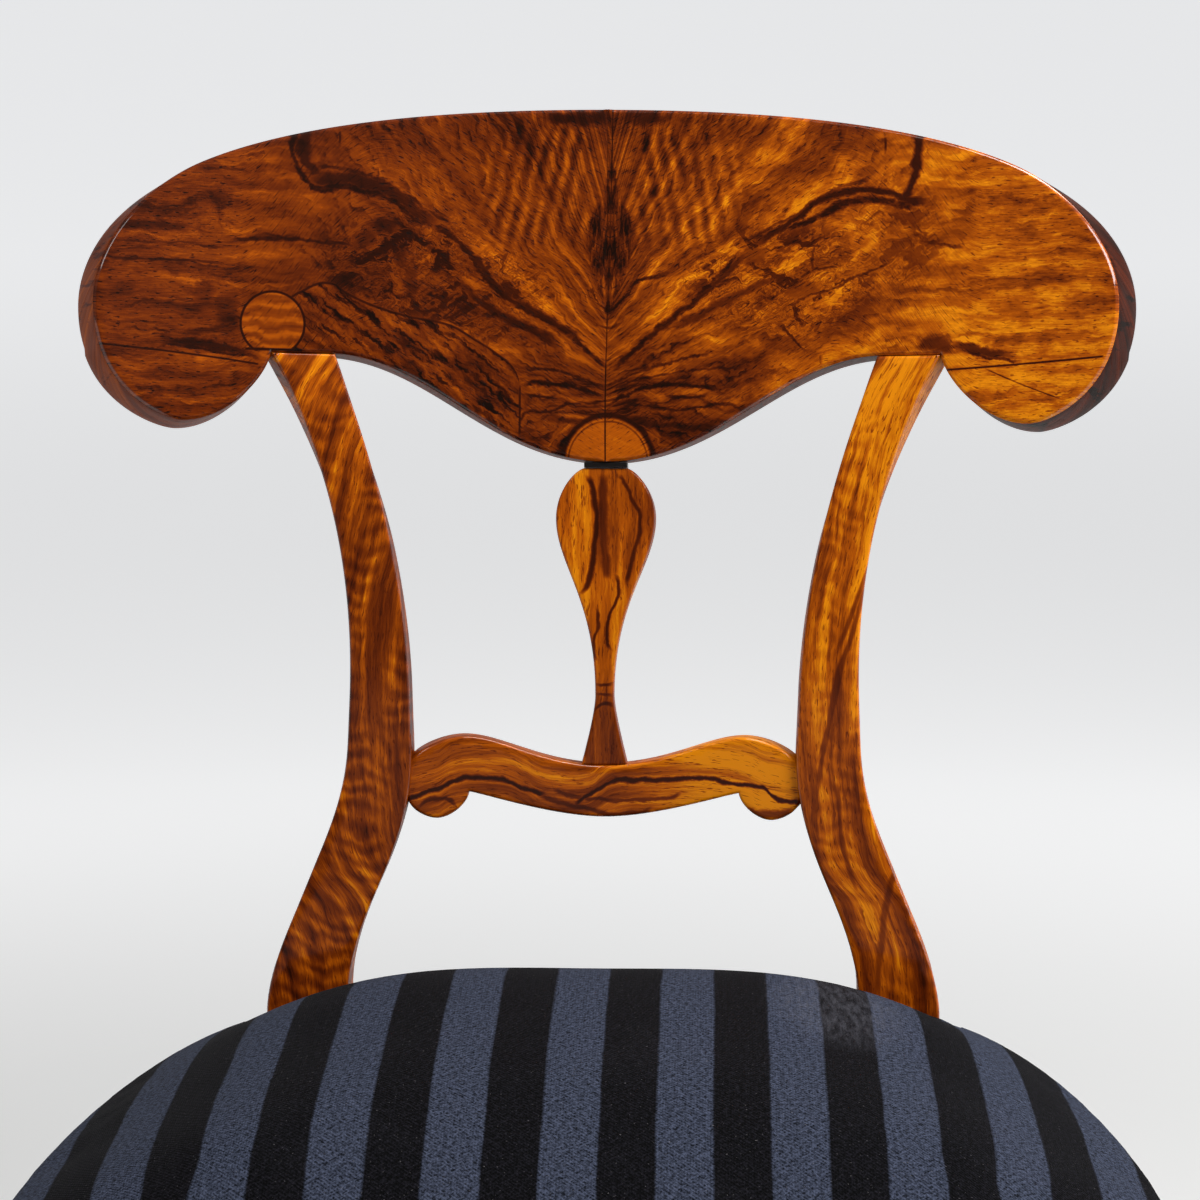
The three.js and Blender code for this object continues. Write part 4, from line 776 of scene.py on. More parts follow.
SPLAT_LINES = (
    ("v", 1.6, .85, ((262, -8), (250, -5), (240, -4), (230, -5), (215, -7), (207, -11))),
    ("v", 2.4, .6, ((262, -1), (240, -1), (222, 0), (214, 1))),
    ("v", 1.2, .7, ((262, 6), (250, 13), (240, 16), (225, 13), (212, 10))),
    ("v", 1.0, .8, ((216, 4), (210, 6.5), (203, 5), (196, 2), (187, 1), (180, 3))),
    ("v", 0.9, .7, ((200, -4), (192, -3), (185, -5), (176, -3))),
    ("u", 0.9, .7, ((-4, 165), (1, 164.5), (4, 165))), ("u", 0.9, .6, ((-4, 160), (4, 159.5))),
    ("u", 1.0, .7, ((-5, 150), (0, 156), (5, 155))),
)


def hidden_wood(name, tones, along, polish=0.0):
    """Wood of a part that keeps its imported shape; the grain runs along one of the frame's axes."""
    wood = Finish(name)
    parts = wood.parts(wood.place())
    run = parts[along]
    one, two = (part for k, part in enumerate(parts) if k != along)
    across = one * 0.8 + two * 0.6 + wood.sway(24.0, one * 0.02, two * 0.02, run * 0.004)
    streak, fine, pores = fibres(wood, run, across, 5.0 + along)
    sway = wood.noise(across * 0.03, run * 0.02, 15.0, detail=3.0) - 0.5
    ripple = wood.wave(run + sway * 30.0, 9.0) * wood.step(sway, -0.1, 0.12)
    share = 0.46 + (streak - 0.5) * 1.4 + (fine - 0.5) * 0.4 - pores * 0.2 + ripple * 0.06
    colour = wood.ramp(share, tones)
    return wood.done(colour, 0.5 + (fine - 0.5) * 0.2, fine * 0.4 - pores, 0.00015, polish + (fine - 0.5) * 0.1,
                     **POLISH)


CORE_TONES = (
    (0.0, tone(96, 62, 34)), (0.4, tone(146, 102, 62)), (0.7, tone(172, 126, 80)), (1.0, tone(196, 152, 102)),
)


def ebonised():
    wood = Finish("ebonised_fillet")
    x, y, z = wood.parts(wood.field("board"))
    streak, fine, pores = fibres(wood, x, y, 2.0)
    colour = wood.ramp(streak, ((0.2, tone(9, 8, 8)), (0.8, tone(30, 26, 24))))
    return wood.done(colour, 0.4 + pores * 0.2, fine, 0.0001, 0.3 + pores * 0.1, **POLISH)


# Cloth, webbing and metal

def striped_cloth(sizes):
    """Two-tone striped felted wool: a fine twill, flecks and soft stripe edges, with a faint haze that is partly dust
    and partly painted sheen, and a painted highlight patch on its crown.
    """
    cloth = Finish("striped_wool")
    x, y, z = cloth.parts(cloth.field("cloth"))
    wobble = cloth.sway(1.6, x * 0.03, y * 0.02, 2.0, detail=2.0)
    fuzz = cloth.sway(1.5, x * 1.1, y * 1.1, 5.0, detail=3.0, roughness=0.7)
    wide = sizes.stripe * 1000.0
    turn = (x - 5.3 + wobble + fuzz * 0.5) * (math.pi / wide)
    stripe = cloth.step(turn.sine(), -0.10, 0.10)
    twill = (((x * 0.9 + y * 0.9) * (2 * math.pi / 1.9)) + fuzz * 0.8).sine()
    ribs = cloth.wave(x, 1.15)
    weave = twill * 0.5 + ribs * 0.25
    one, two = x + y * 0.9, x * 0.9 - y
    lint = cloth.noise(one * 0.62, two * 0.28, 9.0, detail=2.0, roughness=0.6)
    lint = lint.most(cloth.noise(one * 0.28, two * 0.66, 11.0, detail=2.0, roughness=0.6)) * 1.25 - 0.17
    dust_and_sheen_noise = cloth.noise(x * 0.02, y * 0.016, 14.0, detail=4.0, roughness=0.6)
    wear_and_sheen_streaks = cloth.noise(x * 0.34, y * 0.07, 19.0, detail=5.0, roughness=0.7)
    grey = cloth.mix(0.46 + weave * 0.2 + (lint - 0.5) * 3.0, tone(11, 14, 21), tone(66, 72, 90))
    black = cloth.mix(0.16 + weave * 0.15 + (lint - 0.5) * 2.8, tone(1, 1, 2), tone(27, 26, 32))
    colour = cloth.mix(stripe, grey, black)
    # Painted sheen: a faint haze, partly dust and partly light on the nap, lightens the cloth here and there, and a
    # streaked painted highlight lies on the crown's right front.
    dust_and_sheen = cloth.step(dust_and_sheen_noise + (wear_and_sheen_streaks - 0.5) * 0.25, 0.46, 0.80) * (0.5 + lint)
    painted_sheen_patch = cloth.spot(x, y, (106.0, -122.0), (26.0, 54.0), 0.98) * cloth.step(wear_and_sheen_streaks, 0.30, 0.78)
    colour = cloth.mix(dust_and_sheen * 0.012 + painted_sheen_patch * 0.22, colour, tone(120, 120, 130))
    fleck = cloth.step(cloth.noise(x * 0.75, y * 0.75, 27.0, detail=2.0), 0.68, 0.74)
    colour = cloth.mix(fleck * 0.30, colour, tone(118, 114, 116))
    relief = weave * 0.35 + lint * 0.9 + wear_and_sheen_streaks * 0.5 + stripe * -0.25
    return cloth.done(colour, 0.86 + (lint - 0.5) * 0.2, relief, 0.00035, None, Sheen_Weight=0.015,
                      Sheen_Roughness=0.4, Specular_IOR_Level=0.05)


def woven(name, thread, light, dark):
    """Plain weave of one thread pitch in millimetres, from the object's own place."""
    cloth = Finish(name)
    x, y, z = cloth.parts(cloth.place())
    pitch = 2 * math.pi / thread
    fuzz = cloth.noise(x * 0.8, y * 0.8, z * 0.8, detail=3.0) - 0.5
    over = ((x + z) * pitch + fuzz).sine() * ((y + z) * pitch + fuzz).sine()
    slub = cloth.noise(x * 0.3, y * 0.03, 3.0) * 0.5 + cloth.noise(x * 0.03, y * 0.3, 7.0) * 0.5
    colour = cloth.mix(0.5 + over * 0.3 + (slub - 0.5) * 1.2, dark, light)
    return cloth.done(colour, 0.9 + fuzz * 0.1, over * 0.6 + slub, 0.0004, None, Specular_IOR_Level=0.2)


def screw_steel():
    steel = Finish("screw_steel")
    x, y, z = steel.parts(steel.place())
    dull = steel.noise(x * 0.5, y * 0.5, z * 0.5, detail=4.0)
    colour = steel.mix(dull, tone(112, 110, 106), tone(176, 174, 170))
    return steel.done(colour, 0.34 + (dull - 0.5) * 0.3, dull, 0.00005, None, Metallic=1.0)


def crest_edge():
    """Edges and back of the crest: a veneered core, golden brown with dark marks on its edges, and painted shade
    darkening them towards the right end.
    """
    wood = Finish("crest_edge_walnut")
    u, v, d = wood.parts(wood.field("board"))
    streak, fine, pores = fibres(wood, u, v + d * 0.8, 44.0)
    marks = wood.noise(u * 0.05, v * 0.16, d * 0.03, detail=4.0, roughness=0.65)
    # Painted shade: the edges get darker towards the right end, which faces away from the light.
    base = wood.curve(u, ((-240, .54), (-150, .42), (0, .36), (150, .22), (240, .14)))
    rear = wood.step(d, 23.2, 23.9)
    seam = wood.step(abs(d - 23.6), 0.3, 0.1)
    share = base + (streak - 0.5) * 0.9 - wood.step(marks, 0.56, 0.66) * 0.28 + rear * 0.08
    share = share * (1.0 - seam * 0.6)
    return polished(wood, share, pores, (fine - 0.5) * 0.3, wood.step(d, 23.8, 23.0), wood.band(d, 23.4, 24.4, 0.3))


# Outlines of the back's boards

def crest_half():
    """Right half of the crest, from the middle of its top edge round to the middle of its lower edge."""
    def at(a, b):
        return CREST_HALF * a, CREST_LOW + (CREST_HIGH - CREST_LOW) * b
    run = bezier(at(0, 1), [
        (at(.47, 1), at(.695, .892), at(.797, .822)),
        (at(.897, .753), at(1, .592), at(1, .424)),
        (at(1, .178), at(.864, .1), at(.824, .1)),
        (at(.74, .1), at(.664, .217), (155.25, SHOULDER)),
    ], 40)
    bulge = bezier((0, CREST_LOW), [
        ((.416 * LOBE_IN, CREST_LOW), (.63 * LOBE_IN, CREST_LOW + .957 * 48.7), (LOBE_IN, SHOULDER)),
    ], 50)
    return np.concatenate([run, bulge[::-1]])


def mirrored(half):
    """The whole outline from its right half, which starts and ends on the middle."""
    return np.concatenate([half, half[1:-1][::-1] * np.array([-1, 1])])


def rail_outline():
    def at(a, b):
        return RAIL_HALF * a, RAIL_LOW + RAIL_RISE * b
    top = bezier(at(0, .642), [(at(.316, .642), at(.515, 1), at(.7, 1)), (at(.823, 1), at(1, .8), at(1, .556))], 30)
    low = bezier(at(0, .016), [
        (at(.26, .016), at(.598, .287), at(.681, .321)),
        (at(.694, .154), at(.781, 0), at(.846, 0)),
        (at(.885, 0), at(.984, .076), at(1, .287)),
    ], 30)
    return mirrored(np.concatenate([top, low[::-1]]))


def splat_outline():
    shares = [((.2, .24), (.77, 1)), ((.546, 0), (.737, 1)), ((.56, 0), (1, .68))]
    pieces = []
    for (low, a), (high, b), (one, two) in zip(SPLAT_PLACES, SPLAT_PLACES[1:], shares):
        pieces.append([(lerp(a, b, s[1]), lerp(low, high, s[0])) for s in (one, two)] + [(b, high)])
    right = bezier(SPLAT_PLACES[0][::-1], pieces, 40)
    return np.concatenate([right, right[::-1] * np.array([-1, 1])])


def stile_outline():
    levels = np.concatenate([np.linspace(STILE_TOP, LEG_TOP, 120), np.linspace(LEG_TOP, FLOOR_LEVEL + 0.1, 60)[1:]])
    spread, half = stile_spread(levels), stile_width(levels) / 2
    return np.concatenate([np.column_stack([spread + half, levels]), np.column_stack([spread - half, levels])[::-1]])


# The cushion

CUSHION_LOW, CUSHION_WIDE, RAIL_TOP = 408.3, 445.2, 439.7  # heights: lower edge, widest place, top of the rails
BACK_HALF, BACK_Y, SIDE_Y = 155.8, 22.08, -13.91           # the plan at the back, and where its sides start
FRONT_HALF, CORNER_Y, CORNER = 231.0, -353.0, 9.0          # the plan at its front corners
FRONT_Y, FRONT_BOW, BOW_HALF = -362.0, 6.0, 189.0          # the bowed front
MIDDLE_Y, REACH = -173.0, 195.0                            # middle of the crown, and its reach to front and back
CROWN_BACK, CROWN_FRONT = 190.0, 250.0                     # half widths of the crown
CLOTH_OUT, EDGE_RISE, CROWN_RISE = 12.0, 15.6, 37.2        # bulge past the rails; rises of the crown
PINNED_BELOW, MOST_MOVED = 0.447, 0.004                    # of the cloth simulation, in metres
LAST_FRAME = 20                                            # of the cloth simulation
STILE_GAP, PAST_SIDE, PAST_REAR = 0.9, 60.0, 90.0          # the cut for a stile, and how far it reaches on
INNER, PLATE = 1.9, 1.0                                    # the cushion's inner wall and its underside
DENT, DENT_WIDE, DENT_LEVEL = 7.0, 24.0, 50.0              # the cushion's dip in front of a stile


def seat_half():
    """Right half of the seat's plan, from the middle of its back to the middle of its front."""
    side = bezier((BACK_HALF, SIDE_Y), [((lerp(BACK_HALF, FRONT_HALF, .5), lerp(SIDE_Y, CORNER_Y, .12)),
                                         (FRONT_HALF, lerp(SIDE_Y, CORNER_Y, .5)), (FRONT_HALF, CORNER_Y))], 70)
    corner = [(FRONT_HALF - CORNER * (1 - math.cos(a)), CORNER_Y - CORNER * math.sin(a))
              for a in np.linspace(0, math.pi / 2, 8)[1:]]
    xs = np.linspace(BOW_HALF, 0, 40)
    front = np.column_stack([xs, FRONT_Y - FRONT_BOW * (1 - (xs / BOW_HALF) ** 2)])
    back = np.array([(x, BACK_Y) for x in np.linspace(0, BACK_HALF, 30)])
    wall = np.array([(BACK_HALF, y) for y in np.linspace(BACK_Y, SIDE_Y, 8)])[1:-1]
    return np.concatenate([back, wall, side, corner, front])


def seat_outline(out):
    whole = mirrored(seat_half())
    return whole + beside(whole) * out


def crown_ring(edge, share):
    """The crown's outline at a share of the way out: a rounded square that grows into the seat's own edge."""
    forward = (MIDDLE_Y - edge[:, 1]) / REACH
    across = edge[:, 0] / lerp(CROWN_BACK, CROWN_FRONT, (1 + forward) / 2)
    power = np.where(forward > 0, 6.0, 3.5)
    rounded = (np.abs(across) ** power + np.abs(forward) ** power) ** (-1 / power)
    scale = share * lerp(np.minimum(rounded, 1 / max(share, 1e-6)), 1, smooth(share, 0.85, 1))
    ahead = forward * scale
    return np.column_stack([across * scale * lerp(CROWN_BACK, CROWN_FRONT, (1 + ahead) / 2), MIDDLE_Y - ahead * REACH])


def crown_height(share):
    return CUSHION_WIDE + EDGE_RISE * math.sqrt(1 - share**5.8) + CROWN_RISE * (1 - share**4) ** 2.04


def cushion_rings():
    """Rings from the turned lower edge, up the outside and over the crown, in back-frame millimetres."""
    rings = []
    for z in np.linspace(CUSHION_LOW, CUSHION_WIDE, 14):
        out = CLOTH_OUT * math.sin(math.pi / 2 * (z - CUSHION_LOW + 0.3) / (CUSHION_WIDE - CUSHION_LOW + 0.3)) - 0.3
        ring = seat_outline(out)
        rings.append(np.column_stack([ring, np.full(len(ring), z)]))
    edge = rings[-1][:, :2]
    shares = np.concatenate([np.cos(np.linspace(0.06, 0.75, 22)) ** 0.35, np.linspace(0.88, 0.03, 34)])
    shares = np.sort(np.unique(np.round(shares, 5)))[::-1]
    for share in shares:
        rings.append(np.column_stack([crown_ring(edge, share), np.full(len(edge), crown_height(share))]))
    return rings


def cushion_cloth(rings):
    """Arc lengths of the cloth across and along the seat, from the middle of the crown."""
    stack = np.array(rings)
    outline = stack[0][:, :2]
    normal = beside(outline)
    normal = normal / np.linalg.norm(normal, axis=1)[:, None]
    fields = np.zeros(stack.shape[:2] + (2,))
    fields[-1] = stack[-1][:, :2]
    for k in range(len(rings) - 2, -1, -1):
        step = stack[k] - stack[k + 1]
        for axis in (0, 1):
            rise = step[:, 2] * np.abs(normal[:, axis])
            length = np.hypot(step[:, axis], rise)
            way = np.where(np.abs(step[:, axis]) > 1e-6, np.sign(step[:, axis]), np.sign(normal[:, axis]))
            fields[k, :, axis] = fields[k + 1, :, axis] + way * length
    return fields


def stile_cutter(side, gap):
    """A block over the outer part of a stile, a gap wider, that cuts the cushion free of it."""
    levels = np.linspace(-60, 110, 24)
    spread, half = stile_spread(levels), stile_width(levels) / 2
    points = []
    for level, s, h in zip(levels, spread, half):
        us = np.array([s - h - gap, s + h + PAST_SIDE, s + h + PAST_SIDE, s - h - gap])
        points.append(on_stile(side, us, np.full(4, level), np.array([-gap, -gap, PAST_REAR, PAST_REAR])))
    last = 4 * (len(levels) - 1)
    faces = strips(len(levels), 4) + [(0, 1, 2, 3), tuple(last + i for i in (3, 2, 1, 0))]
    return made("stile_cutter", np.concatenate(points), faces)


def carried(places, values, wanted, count, soft):
    """Values at other places, mixed from the nearest few of the places that have them."""
    tree = kdtree.KDTree(len(places))
    for k, place in enumerate(places):
        tree.insert(Vector(place), k)
    tree.balance()
    found = []
    for place in wanted:
        near = tree.find_n(Vector(place), count)
        weight = np.array([1 / (distance + soft) for _, _, distance in near])
        found.append((values[[k for _, k, _ in near]] * weight[:, None]).sum(axis=0) / weight.sum())
    return np.array(found)


def plumped(points, faces):
    """How far a cloth simulation moves each point of the cushion: it swells under pressure, pinned at its edge."""
    rest = made("cushion_trial", placed(*points.T), faces)
    coarse = rest.modifiers.new("remesh", "REMESH")
    coarse.mode, coarse.voxel_size = "VOXEL", 0.0065
    settle(rest)
    start = np.array([vertex.co[:] for vertex in rest.data.vertices])
    held = rest.vertex_groups.new(name="held")
    for k in np.nonzero(start[:, 2] < PINNED_BELOW)[0]:
        held.add([int(k)], 1.0, "REPLACE")
    cloth = rest.modifiers.new("cloth", "CLOTH")
    cloth.settings.quality = 5
    cloth.settings.mass = 0.25
    cloth.settings.tension_stiffness = cloth.settings.compression_stiffness = 18.0
    cloth.settings.bending_stiffness = 1.5
    cloth.settings.use_pressure = True
    cloth.settings.uniform_pressure_force = 4.0
    cloth.settings.vertex_group_mass = "held"
    cloth.settings.effector_weights.gravity = 0.0
    cloth.collision_settings.use_collision = cloth.collision_settings.use_self_collision = False
    scene = bpy.context.scene
    for number in range(1, LAST_FRAME + 1):
        scene.frame_set(number)
    graph = bpy.context.evaluated_depsgraph_get()
    solved = rest.evaluated_get(graph).data
    end = np.array([vertex.co[:] for vertex in solved.vertices])
    scene.frame_set(1)
    offset = end - start
    length = np.linalg.norm(offset, axis=1)
    offset *= np.minimum(1, MOST_MOVED / np.maximum(length, 1e-9))[:, None]
    moved = carried(start, offset, placed(*points.T), 6, 1e-4)
    bpy.data.objects.remove(rest)
    return moved / MM


def cushion(name):
    """The closed cushion, dipped and cut at the stiles, with the cloth's own lengths at its points."""
    rings = cushion_rings()
    fields = cushion_cloth(rings)
    under = RAIL_TOP + PLATE
    inner = [np.column_stack([seat_outline(-INNER), np.full(len(rings[0]), z)]) for z in (CUSHION_LOW, under)]
    loops = inner[::-1] + rings
    count = len(rings[0])
    points = np.concatenate(loops + [[[0, MIDDLE_Y, crown_height(0)]], [[0, MIDDLE_Y, under]]])
    faces = strips(len(loops), count)
    top, last, low = len(points) - 2, (len(loops) - 1) * count, len(points) - 1
    for i in range(count):
        j = (i + 1) % count
        faces += [(last + i, last + j, top), (j, i, low)]
    flat = np.concatenate([fields[0], fields[0]] + list(fields) + [[[0, MIDDLE_Y]], [[0, MIDDLE_Y]]])
    cloth = np.column_stack([flat, points[:, 2]])
    for side in (-1, 1):
        touch = on_stile(side, np.array([stile_spread(DENT_LEVEL) - 6]), np.array([DENT_LEVEL]), np.array([6.0]))[0]
        away = np.hypot((points[:, 0] - touch[0] / MM) / 1.3, points[:, 1] + REAR_SHIFT - touch[1] / MM)
        points[:, 2] -= np.where(points[:, 2] > 450, DENT * np.exp(-((away / DENT_WIDE) ** 2)), 0)
    points = points + plumped(points, faces)
    body = made(name, placed(*points.T), faces, {"cloth": cloth})
    whole = [vertex.co.copy() for vertex in body.data.vertices]
    for side in (-1, 1):
        cutter = stile_cutter(side, STILE_GAP)
        cut = body.modifiers.new("cut", "BOOLEAN")
        cut.operation, cut.object, cut.solver = "DIFFERENCE", cutter, "MANIFOLD"
        settle(body)
        bpy.data.objects.remove(cutter)
        if not body.data.vertices:
            raise RuntimeError("the cushion was lost where it is cut for a stile")
    values = carried(whole, cloth, [vertex.co for vertex in body.data.vertices], 3, 1e-5)
    field = body.data.attributes.get("cloth") or body.data.attributes.new("cloth", "FLOAT_VECTOR", "POINT")
    field.data.foreach_set("vector", np.asarray(values, np.float32).ravel())
    body.data.shade_smooth()
    body.data.set_sharp_from_angle(angle=math.radians(50))
    return body


def settle(piece):
    """Applies the piece's modifiers to its mesh."""
    graph = bpy.context.evaluated_depsgraph_get()
    graph.update()
    result = bpy.data.meshes.new_from_object(piece.evaluated_get(graph))
    piece.modifiers.clear()
    piece.data = result


# Sizes and colours that a user would change

class BackSizes(bpy.types.PropertyGroup):
    """Sizes of the chair back."""

    arris: bpy.props.FloatProperty(name="Arris", description="Radius of the boards' eased edges",
                                   default=0.0014, min=0.0004, max=0.0025, unit="LENGTH")
    grid: bpy.props.FloatProperty(name="Face grid", description="Spacing of points on the boards' faces",
                                  default=0.0034, min=0.0015, max=0.01, unit="LENGTH")


class SeatSizes(bpy.types.PropertyGroup):
    """Sizes and colours of the seat."""

    stripe: bpy.props.FloatProperty(name="Stripe", description="Width of one stripe of the cloth",
                                    default=0.02315, min=0.005, max=0.08, unit="LENGTH")
    bottom: bpy.props.FloatVectorProperty(name="Bottom cloth", description="Colour of the cloth under the seat",
                                          default=tone(26, 25, 25), size=4, subtype="COLOR", min=0, max=1)


class StageLights(bpy.types.PropertyGroup):
    """Lights, floor and backdrop."""

    key: bpy.props.FloatProperty(name="Key light", description="Power of the large soft light", default=43.0,
                                 min=0.0, unit="POWER")
    fill: bpy.props.FloatProperty(name="Fill light", description="Power of the soft light on the other side",
                                  default=18.0, min=0.0, unit="POWER")
    world: bpy.props.FloatProperty(name="Surroundings", description="Strength of the even light from all round",
                                   default=0.14, min=0.0, subtype="FACTOR", max=1.0)
    floor: bpy.props.FloatVectorProperty(name="Floor", description="Colour of the floor and backdrop",
                                         default=tone(244, 244, 243), size=4, subtype="COLOR", min=0, max=1)


# Operators: one for each piece or group of like pieces

def dress(piece, material, slot, *nodes):
    """Gives a piece its material, hangs it on the root body, and hides the imported parts that it stands for."""
    piece.data.materials.clear()
    piece.data.materials.append(material)
    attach(piece, "root")
    if nodes:
        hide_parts(*nodes)


def finish_node(name, material):
    """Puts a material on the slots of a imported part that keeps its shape."""
    part = bpy.data.objects.get(name)
    if part is None:
        raise RuntimeError("no packed part named " + name)
    if not part.material_slots:
        part.data.materials.append(material)
    for place in part.material_slots:
        place.material = material


class CHAIR_OT_crest(bpy.types.Operator):
    """Crest rail: two matched face veneers on a curved core with a back veneer"""

    bl_idname = "chair.crest"
    bl_label = "Crest rail"

    def execute(self, context):
        sizes = context.scene.chair_back
        ease, grid = sizes.arris / MM * 1.4, sizes.grid / MM
        half = crest_half()
        figure = crest_veneer()
        leaf_ease = (lambda ring: 0.05 + (min(ease, 1.35) - 0.05) * smooth(np.abs(ring[:, 0]), 0.2, 3.0), 0.05)
        for side, word in ((-1, "left"), (1, "right")):
            outline = half.copy()
            outline[[0, -1], 0] = 0.06
            leaf = board("crest_leaf_" + word, outline * np.array([side, 1]), on_crest, 0.0, FACE_VENEER,
                         leaf_ease, grid, corner=BEVEL)
            dress(leaf, figure, "walnut_burl", "crest_face_veneer_" + word)
        body = board("crest_body", mirrored(half), on_crest, FACE_VENEER + 0.02, CREST_THICK, (0.15, ease), grid * 1.4)
        dress(body, crest_edge(), "walnut", "crest_core", "crest_rear_veneer")
        return {"FINISHED"}


class CHAIR_OT_stiles(bpy.types.Operator):
    """The two lyre-shaped stiles, each in one piece with its rear leg"""

    bl_idname = "chair.stiles"
    bl_label = "Stiles and rear legs"

    def execute(self, context):
        sizes = context.scene.chair_back
        for side, word in ((-1, "left"), (1, "right")):
            def place(across, level, depth, side=side):
                return on_stile(side, across, level, depth)
            piece = board("stile_" + word, stile_outline(), place, 0.0, stile_depth,
                          (sizes.arris / MM, sizes.arris / MM), sizes.grid / MM * 1.2)
            field = piece.data.attributes["board"]
            values = np.zeros(len(piece.data.vertices) * 3, np.float32)
            field.data.foreach_get("vector", values)
            values = values.reshape(-1, 3) * np.array([side, 1, 1])
            field.data.foreach_set("vector", values.astype(np.float32).ravel())
            dress(piece, stile_walnut(side), "walnut", "rear_leg_" + word)
        return {"FINISHED"}


class CHAIR_OT_low_rail(bpy.types.Operator):
    """Lower back rail with a scroll at each end"""

    bl_idname = "chair.low_rail"
    bl_label = "Lower back rail"

    def execute(self, context):
        sizes = context.scene.chair_back
        rail = board("scrolled_rail", rail_outline(), on_back, RAIL_FRONT, RAIL_REAR, (1.5, 1.2),
                     sizes.grid / MM * 0.8, 1.2)
        walnut = board_walnut("low_rail_walnut", False, RAIL_TONES, RAIL_LINES, RAIL_FRONT)
        dress(rail, walnut, "walnut", "lower_back_rail")
        return {"FINISHED"}


class CHAIR_OT_splat(bpy.types.Operator):
    """Vase splat and the black fillet above it"""

    bl_idname = "chair.splat"
    bl_label = "Splat and fillet"

    def execute(self, context):
        sizes = context.scene.chair_back
        splat = board("vase_board", splat_outline(), on_back, SPLAT_FRONT, SPLAT_REAR, (1.2, 1.2),
                      sizes.grid / MM * 0.6, 1.0)
        dress(splat, board_walnut("splat_walnut", True, SPLAT_TONES, SPLAT_LINES, SPLAT_FRONT),
              "walnut", "vase_splat")
        bar = np.array([(-10, 265.75), (10, 265.75), (10, 267.95), (-10, 267.95)])
        fillet = board("black_fillet", bar, on_back, 1.5, 18.5, (0.35, 0.35), 2.0, 1.0)
        dress(fillet, ebonised(), "ebonised_wood", "splat_fillet")
        return {"FINISHED"}


class CHAIR_OT_seat_frame(bpy.types.Operator):
    """Front legs, seat rails, corner blocks and screws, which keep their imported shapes"""

    bl_idname = "chair.seat_frame"
    bl_label = "Seat frame"

    def execute(self, context):
        legs = hidden_wood("leg_walnut", WALNUT, 2, 0.4)
        side_rails = hidden_wood("side_rail_walnut", WALNUT, 1, 0.35)
        cross_rails = hidden_wood("cross_rail_walnut", WALNUT, 0, 0.35)
        blocks = hidden_wood("corner_block_wood", CORE_TONES, 0)
        steel = screw_steel()
        for word in ("left", "right"):
            finish_node("front_leg_" + word, legs)
            finish_node("side_rail_" + word, side_rails)
            for end in ("front", "back"):
                finish_node("corner_block_" + end + "_" + word, blocks)
                for number in ("1", "2"):
                    finish_node("block_screw_" + end + "_" + word + "_" + number, steel)
        finish_node("front_rail", cross_rails)
        finish_node("back_rail", cross_rails)
        return {"FINISHED"}


class CHAIR_OT_cushion(bpy.types.Operator):
    """Stuffed seat in striped cloth, tacked below the tops of the rails"""

    bl_idname = "chair.cushion"
    bl_label = "Striped cushion"

    def execute(self, context):
        pad = cushion("striped_cushion")
        dress(pad, striped_cloth(context.scene.chair_seat), "striped_cloth", "seat_cover", "stuffing_pad")
        return {"FINISHED"}


class CHAIR_OT_webbing(bpy.types.Operator):
    """Jute webbing, the cloth over it, and the black cloth under the seat"""

    bl_idname = "chair.webbing"
    bl_label = "Webbing and cloths"

    def execute(self, context):
        jute = woven("jute_webbing", 3.2, tone(176, 146, 100), tone(112, 86, 52))
        hessian = woven("hessian", 2.2, tone(166, 140, 100), tone(104, 82, 54))
        black = woven("bottom_cloth_black", 1.6, tone(52, 50, 50), context.scene.chair_seat.bottom)
        for run in ("lengthwise", "crosswise"):
            for number in range(1, 5):
                finish_node("webbing_%s_%d" % (run, number), jute)
        finish_node("base_cloth", hessian)
        finish_node("bottom_cloth", black)
        return {"FINISHED"}


class CHAIR_OT_stage(bpy.types.Operator):
    """Pale floor and backdrop, soft lights and the camera"""

    bl_idname = "chair.stage"
    bl_label = "Stage"

    def execute(self, context):
        scene, lights = context.scene, context.scene.chair_stage
        backdrop_sheet(lights)
        soft_light("key", (1.35, -0.95, 2.3), (0.0, -0.05, 0.62), (1.1, 1.1), lights.key)
        soft_light("fill", (-1.25, -1.2, 2.6), (0.0, -0.05, 0.6), (1.0, 1.0), lights.fill)
        soft_light("top", (0.72, 0.36, 2.2), (0.12, 0.15, 0.8), (0.3, 1.7), lights.key * 0.6)
        soft_light("side", (1.5, 0.25, 1.2), (0.2, 0.12, 0.75), (0.25, 1.1), lights.key * 0.2)
        world = bpy.data.worlds.new("surroundings")
        world.use_nodes = True
        even = world.node_tree.nodes["Background"]
        even.inputs["Color"].default_value = (1, 1, 1, 1)
        even.inputs["Strength"].default_value = lights.world
        scene.world = world
        scene.view_settings.view_transform = "Standard"
        lens = bpy.data.cameras.new("camera")
        lens.sensor_width, lens.lens, lens.clip_start = 36.0, 131.9, 0.05
        camera = bpy.data.objects.new("camera", lens)
        camera.location = (0.0500, -1.82615, 1.066)
        camera.rotation_euler = (math.radians(78), 0, math.radians(1.5))
        scene.collection.objects.link(camera)
        scene.camera = camera
        return {"FINISHED"}


def soft_light(name, place, aim, size, power):
    lamp = bpy.data.lights.new(name, "AREA")
    lamp.shape, lamp.size, lamp.size_y, lamp.energy = "RECTANGLE", size[0], size[1], power
    holder = bpy.data.objects.new(name, lamp)
    holder.location = place
    holder.rotation_euler = (Vector(aim) - Vector(place)).to_track_quat("-Z", "Y").to_euler()
    holder.visible_camera = False
    bpy.context.scene.collection.objects.link(holder)


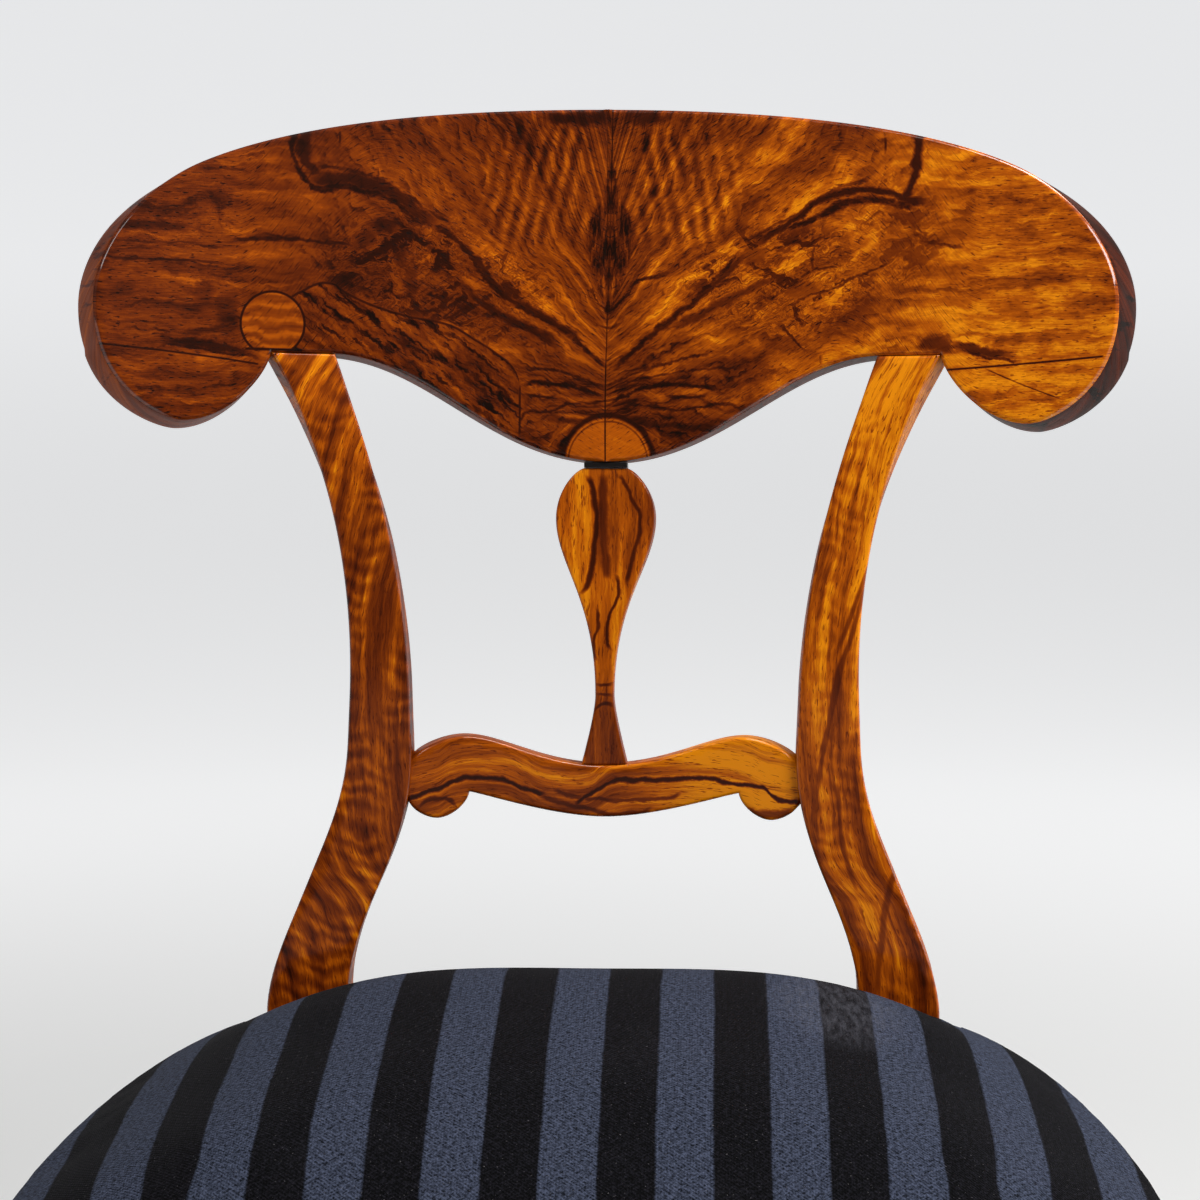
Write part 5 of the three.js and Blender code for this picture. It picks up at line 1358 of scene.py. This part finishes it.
def backdrop_sheet(lights):
    """A wide round floor, in metres, whose far rim sweeps up; it glows far off, where the lamps don't reach."""
    flat, rim, below, turns = 26.0, 4.0, 0.0002, 72
    run = [(r, 0.0) for r in np.concatenate([np.linspace(0.4, 6.0, 15), np.linspace(8.0, flat, 7)])]
    run += [(flat + rim * math.sin(a), rim - rim * math.cos(a)) for a in np.linspace(0, math.pi / 2, 12)[1:]]
    angles = np.linspace(0, 2 * math.pi, turns, endpoint=False)
    points = [(0, 0, -below)] + [(r * math.cos(t), r * math.sin(t), z - below) for r, z in run for t in angles]
    faces = [(0, 1 + i, 1 + (i + 1) % turns) for i in range(turns)] + strips(len(run), turns, 1)
    sheet = made("floor", points, faces)
    paper = Finish("floor_paper")
    x, y, z = paper.parts(paper.place())
    clouds = paper.noise(x * 0.002, y * 0.002, z * 0.002, detail=2.0)
    colour = paper.mix(0.5 + (clouds - 0.5) * 0.3, lights.floor, tone(236, 236, 235))
    seen = paper.node("ShaderNodeLightPath").most(paper.node("ShaderNodeLightPath", output=3))
    seen = seen.most(paper.node("ShaderNodeLightPath", output=6))
    reach = (x * x + y * y) ** 0.5
    far = paper.step(reach, 1100.0, 2400.0) * 0.7 + paper.step(reach, 2400.0, 6500.0) * 0.3
    glow = paper.mix(seen * far, (0, 0, 0, 1), tone(213, 214, 216))
    sheet.data.materials.append(paper.done(colour, 0.9 + (clouds - 0.5) * 0.05, None, 0.0, None,
                                           Specular_IOR_Level=0.1, Emission_Color=glow, Emission_Strength=1.0))


PIECES = (CHAIR_OT_crest, CHAIR_OT_stiles, CHAIR_OT_low_rail, CHAIR_OT_splat, CHAIR_OT_seat_frame,
          CHAIR_OT_cushion, CHAIR_OT_webbing, CHAIR_OT_stage)


class CHAIR_PT_panel(bpy.types.Panel):
    """Lists the chair's sizes and pieces"""

    bl_idname = "CHAIR_PT_panel"
    bl_label = "Lyre back chair"
    bl_space_type = "VIEW_3D"
    bl_region_type = "UI"
    bl_category = "Chair"

    def draw(self, context):
        for group in (context.scene.chair_back, context.scene.chair_seat, context.scene.chair_stage):
            for title in type(group).__annotations__:
                self.layout.prop(group, title)
        for piece in PIECES:
            self.layout.operator(piece.bl_idname)


GROUPS = (("chair_back", BackSizes), ("chair_seat", SeatSizes), ("chair_stage", StageLights))


def register():
    for _, group in GROUPS:
        bpy.utils.register_class(group)
    for piece in PIECES + (CHAIR_PT_panel,):
        bpy.utils.register_class(piece)
    for title, group in GROUPS:
        setattr(bpy.types.Scene, title, bpy.props.PointerProperty(type=group))


def unregister():
    for title, _ in GROUPS:
        delattr(bpy.types.Scene, title)
    for piece in (CHAIR_PT_panel,) + PIECES[::-1]:
        bpy.utils.unregister_class(piece)
    for _, group in GROUPS:
        bpy.utils.unregister_class(group)


def main():
    register()
    for piece in PIECES:
        family, name = piece.bl_idname.split(".")
        getattr(getattr(bpy.ops, family), name)()


if __name__ == "__main__":
    main()
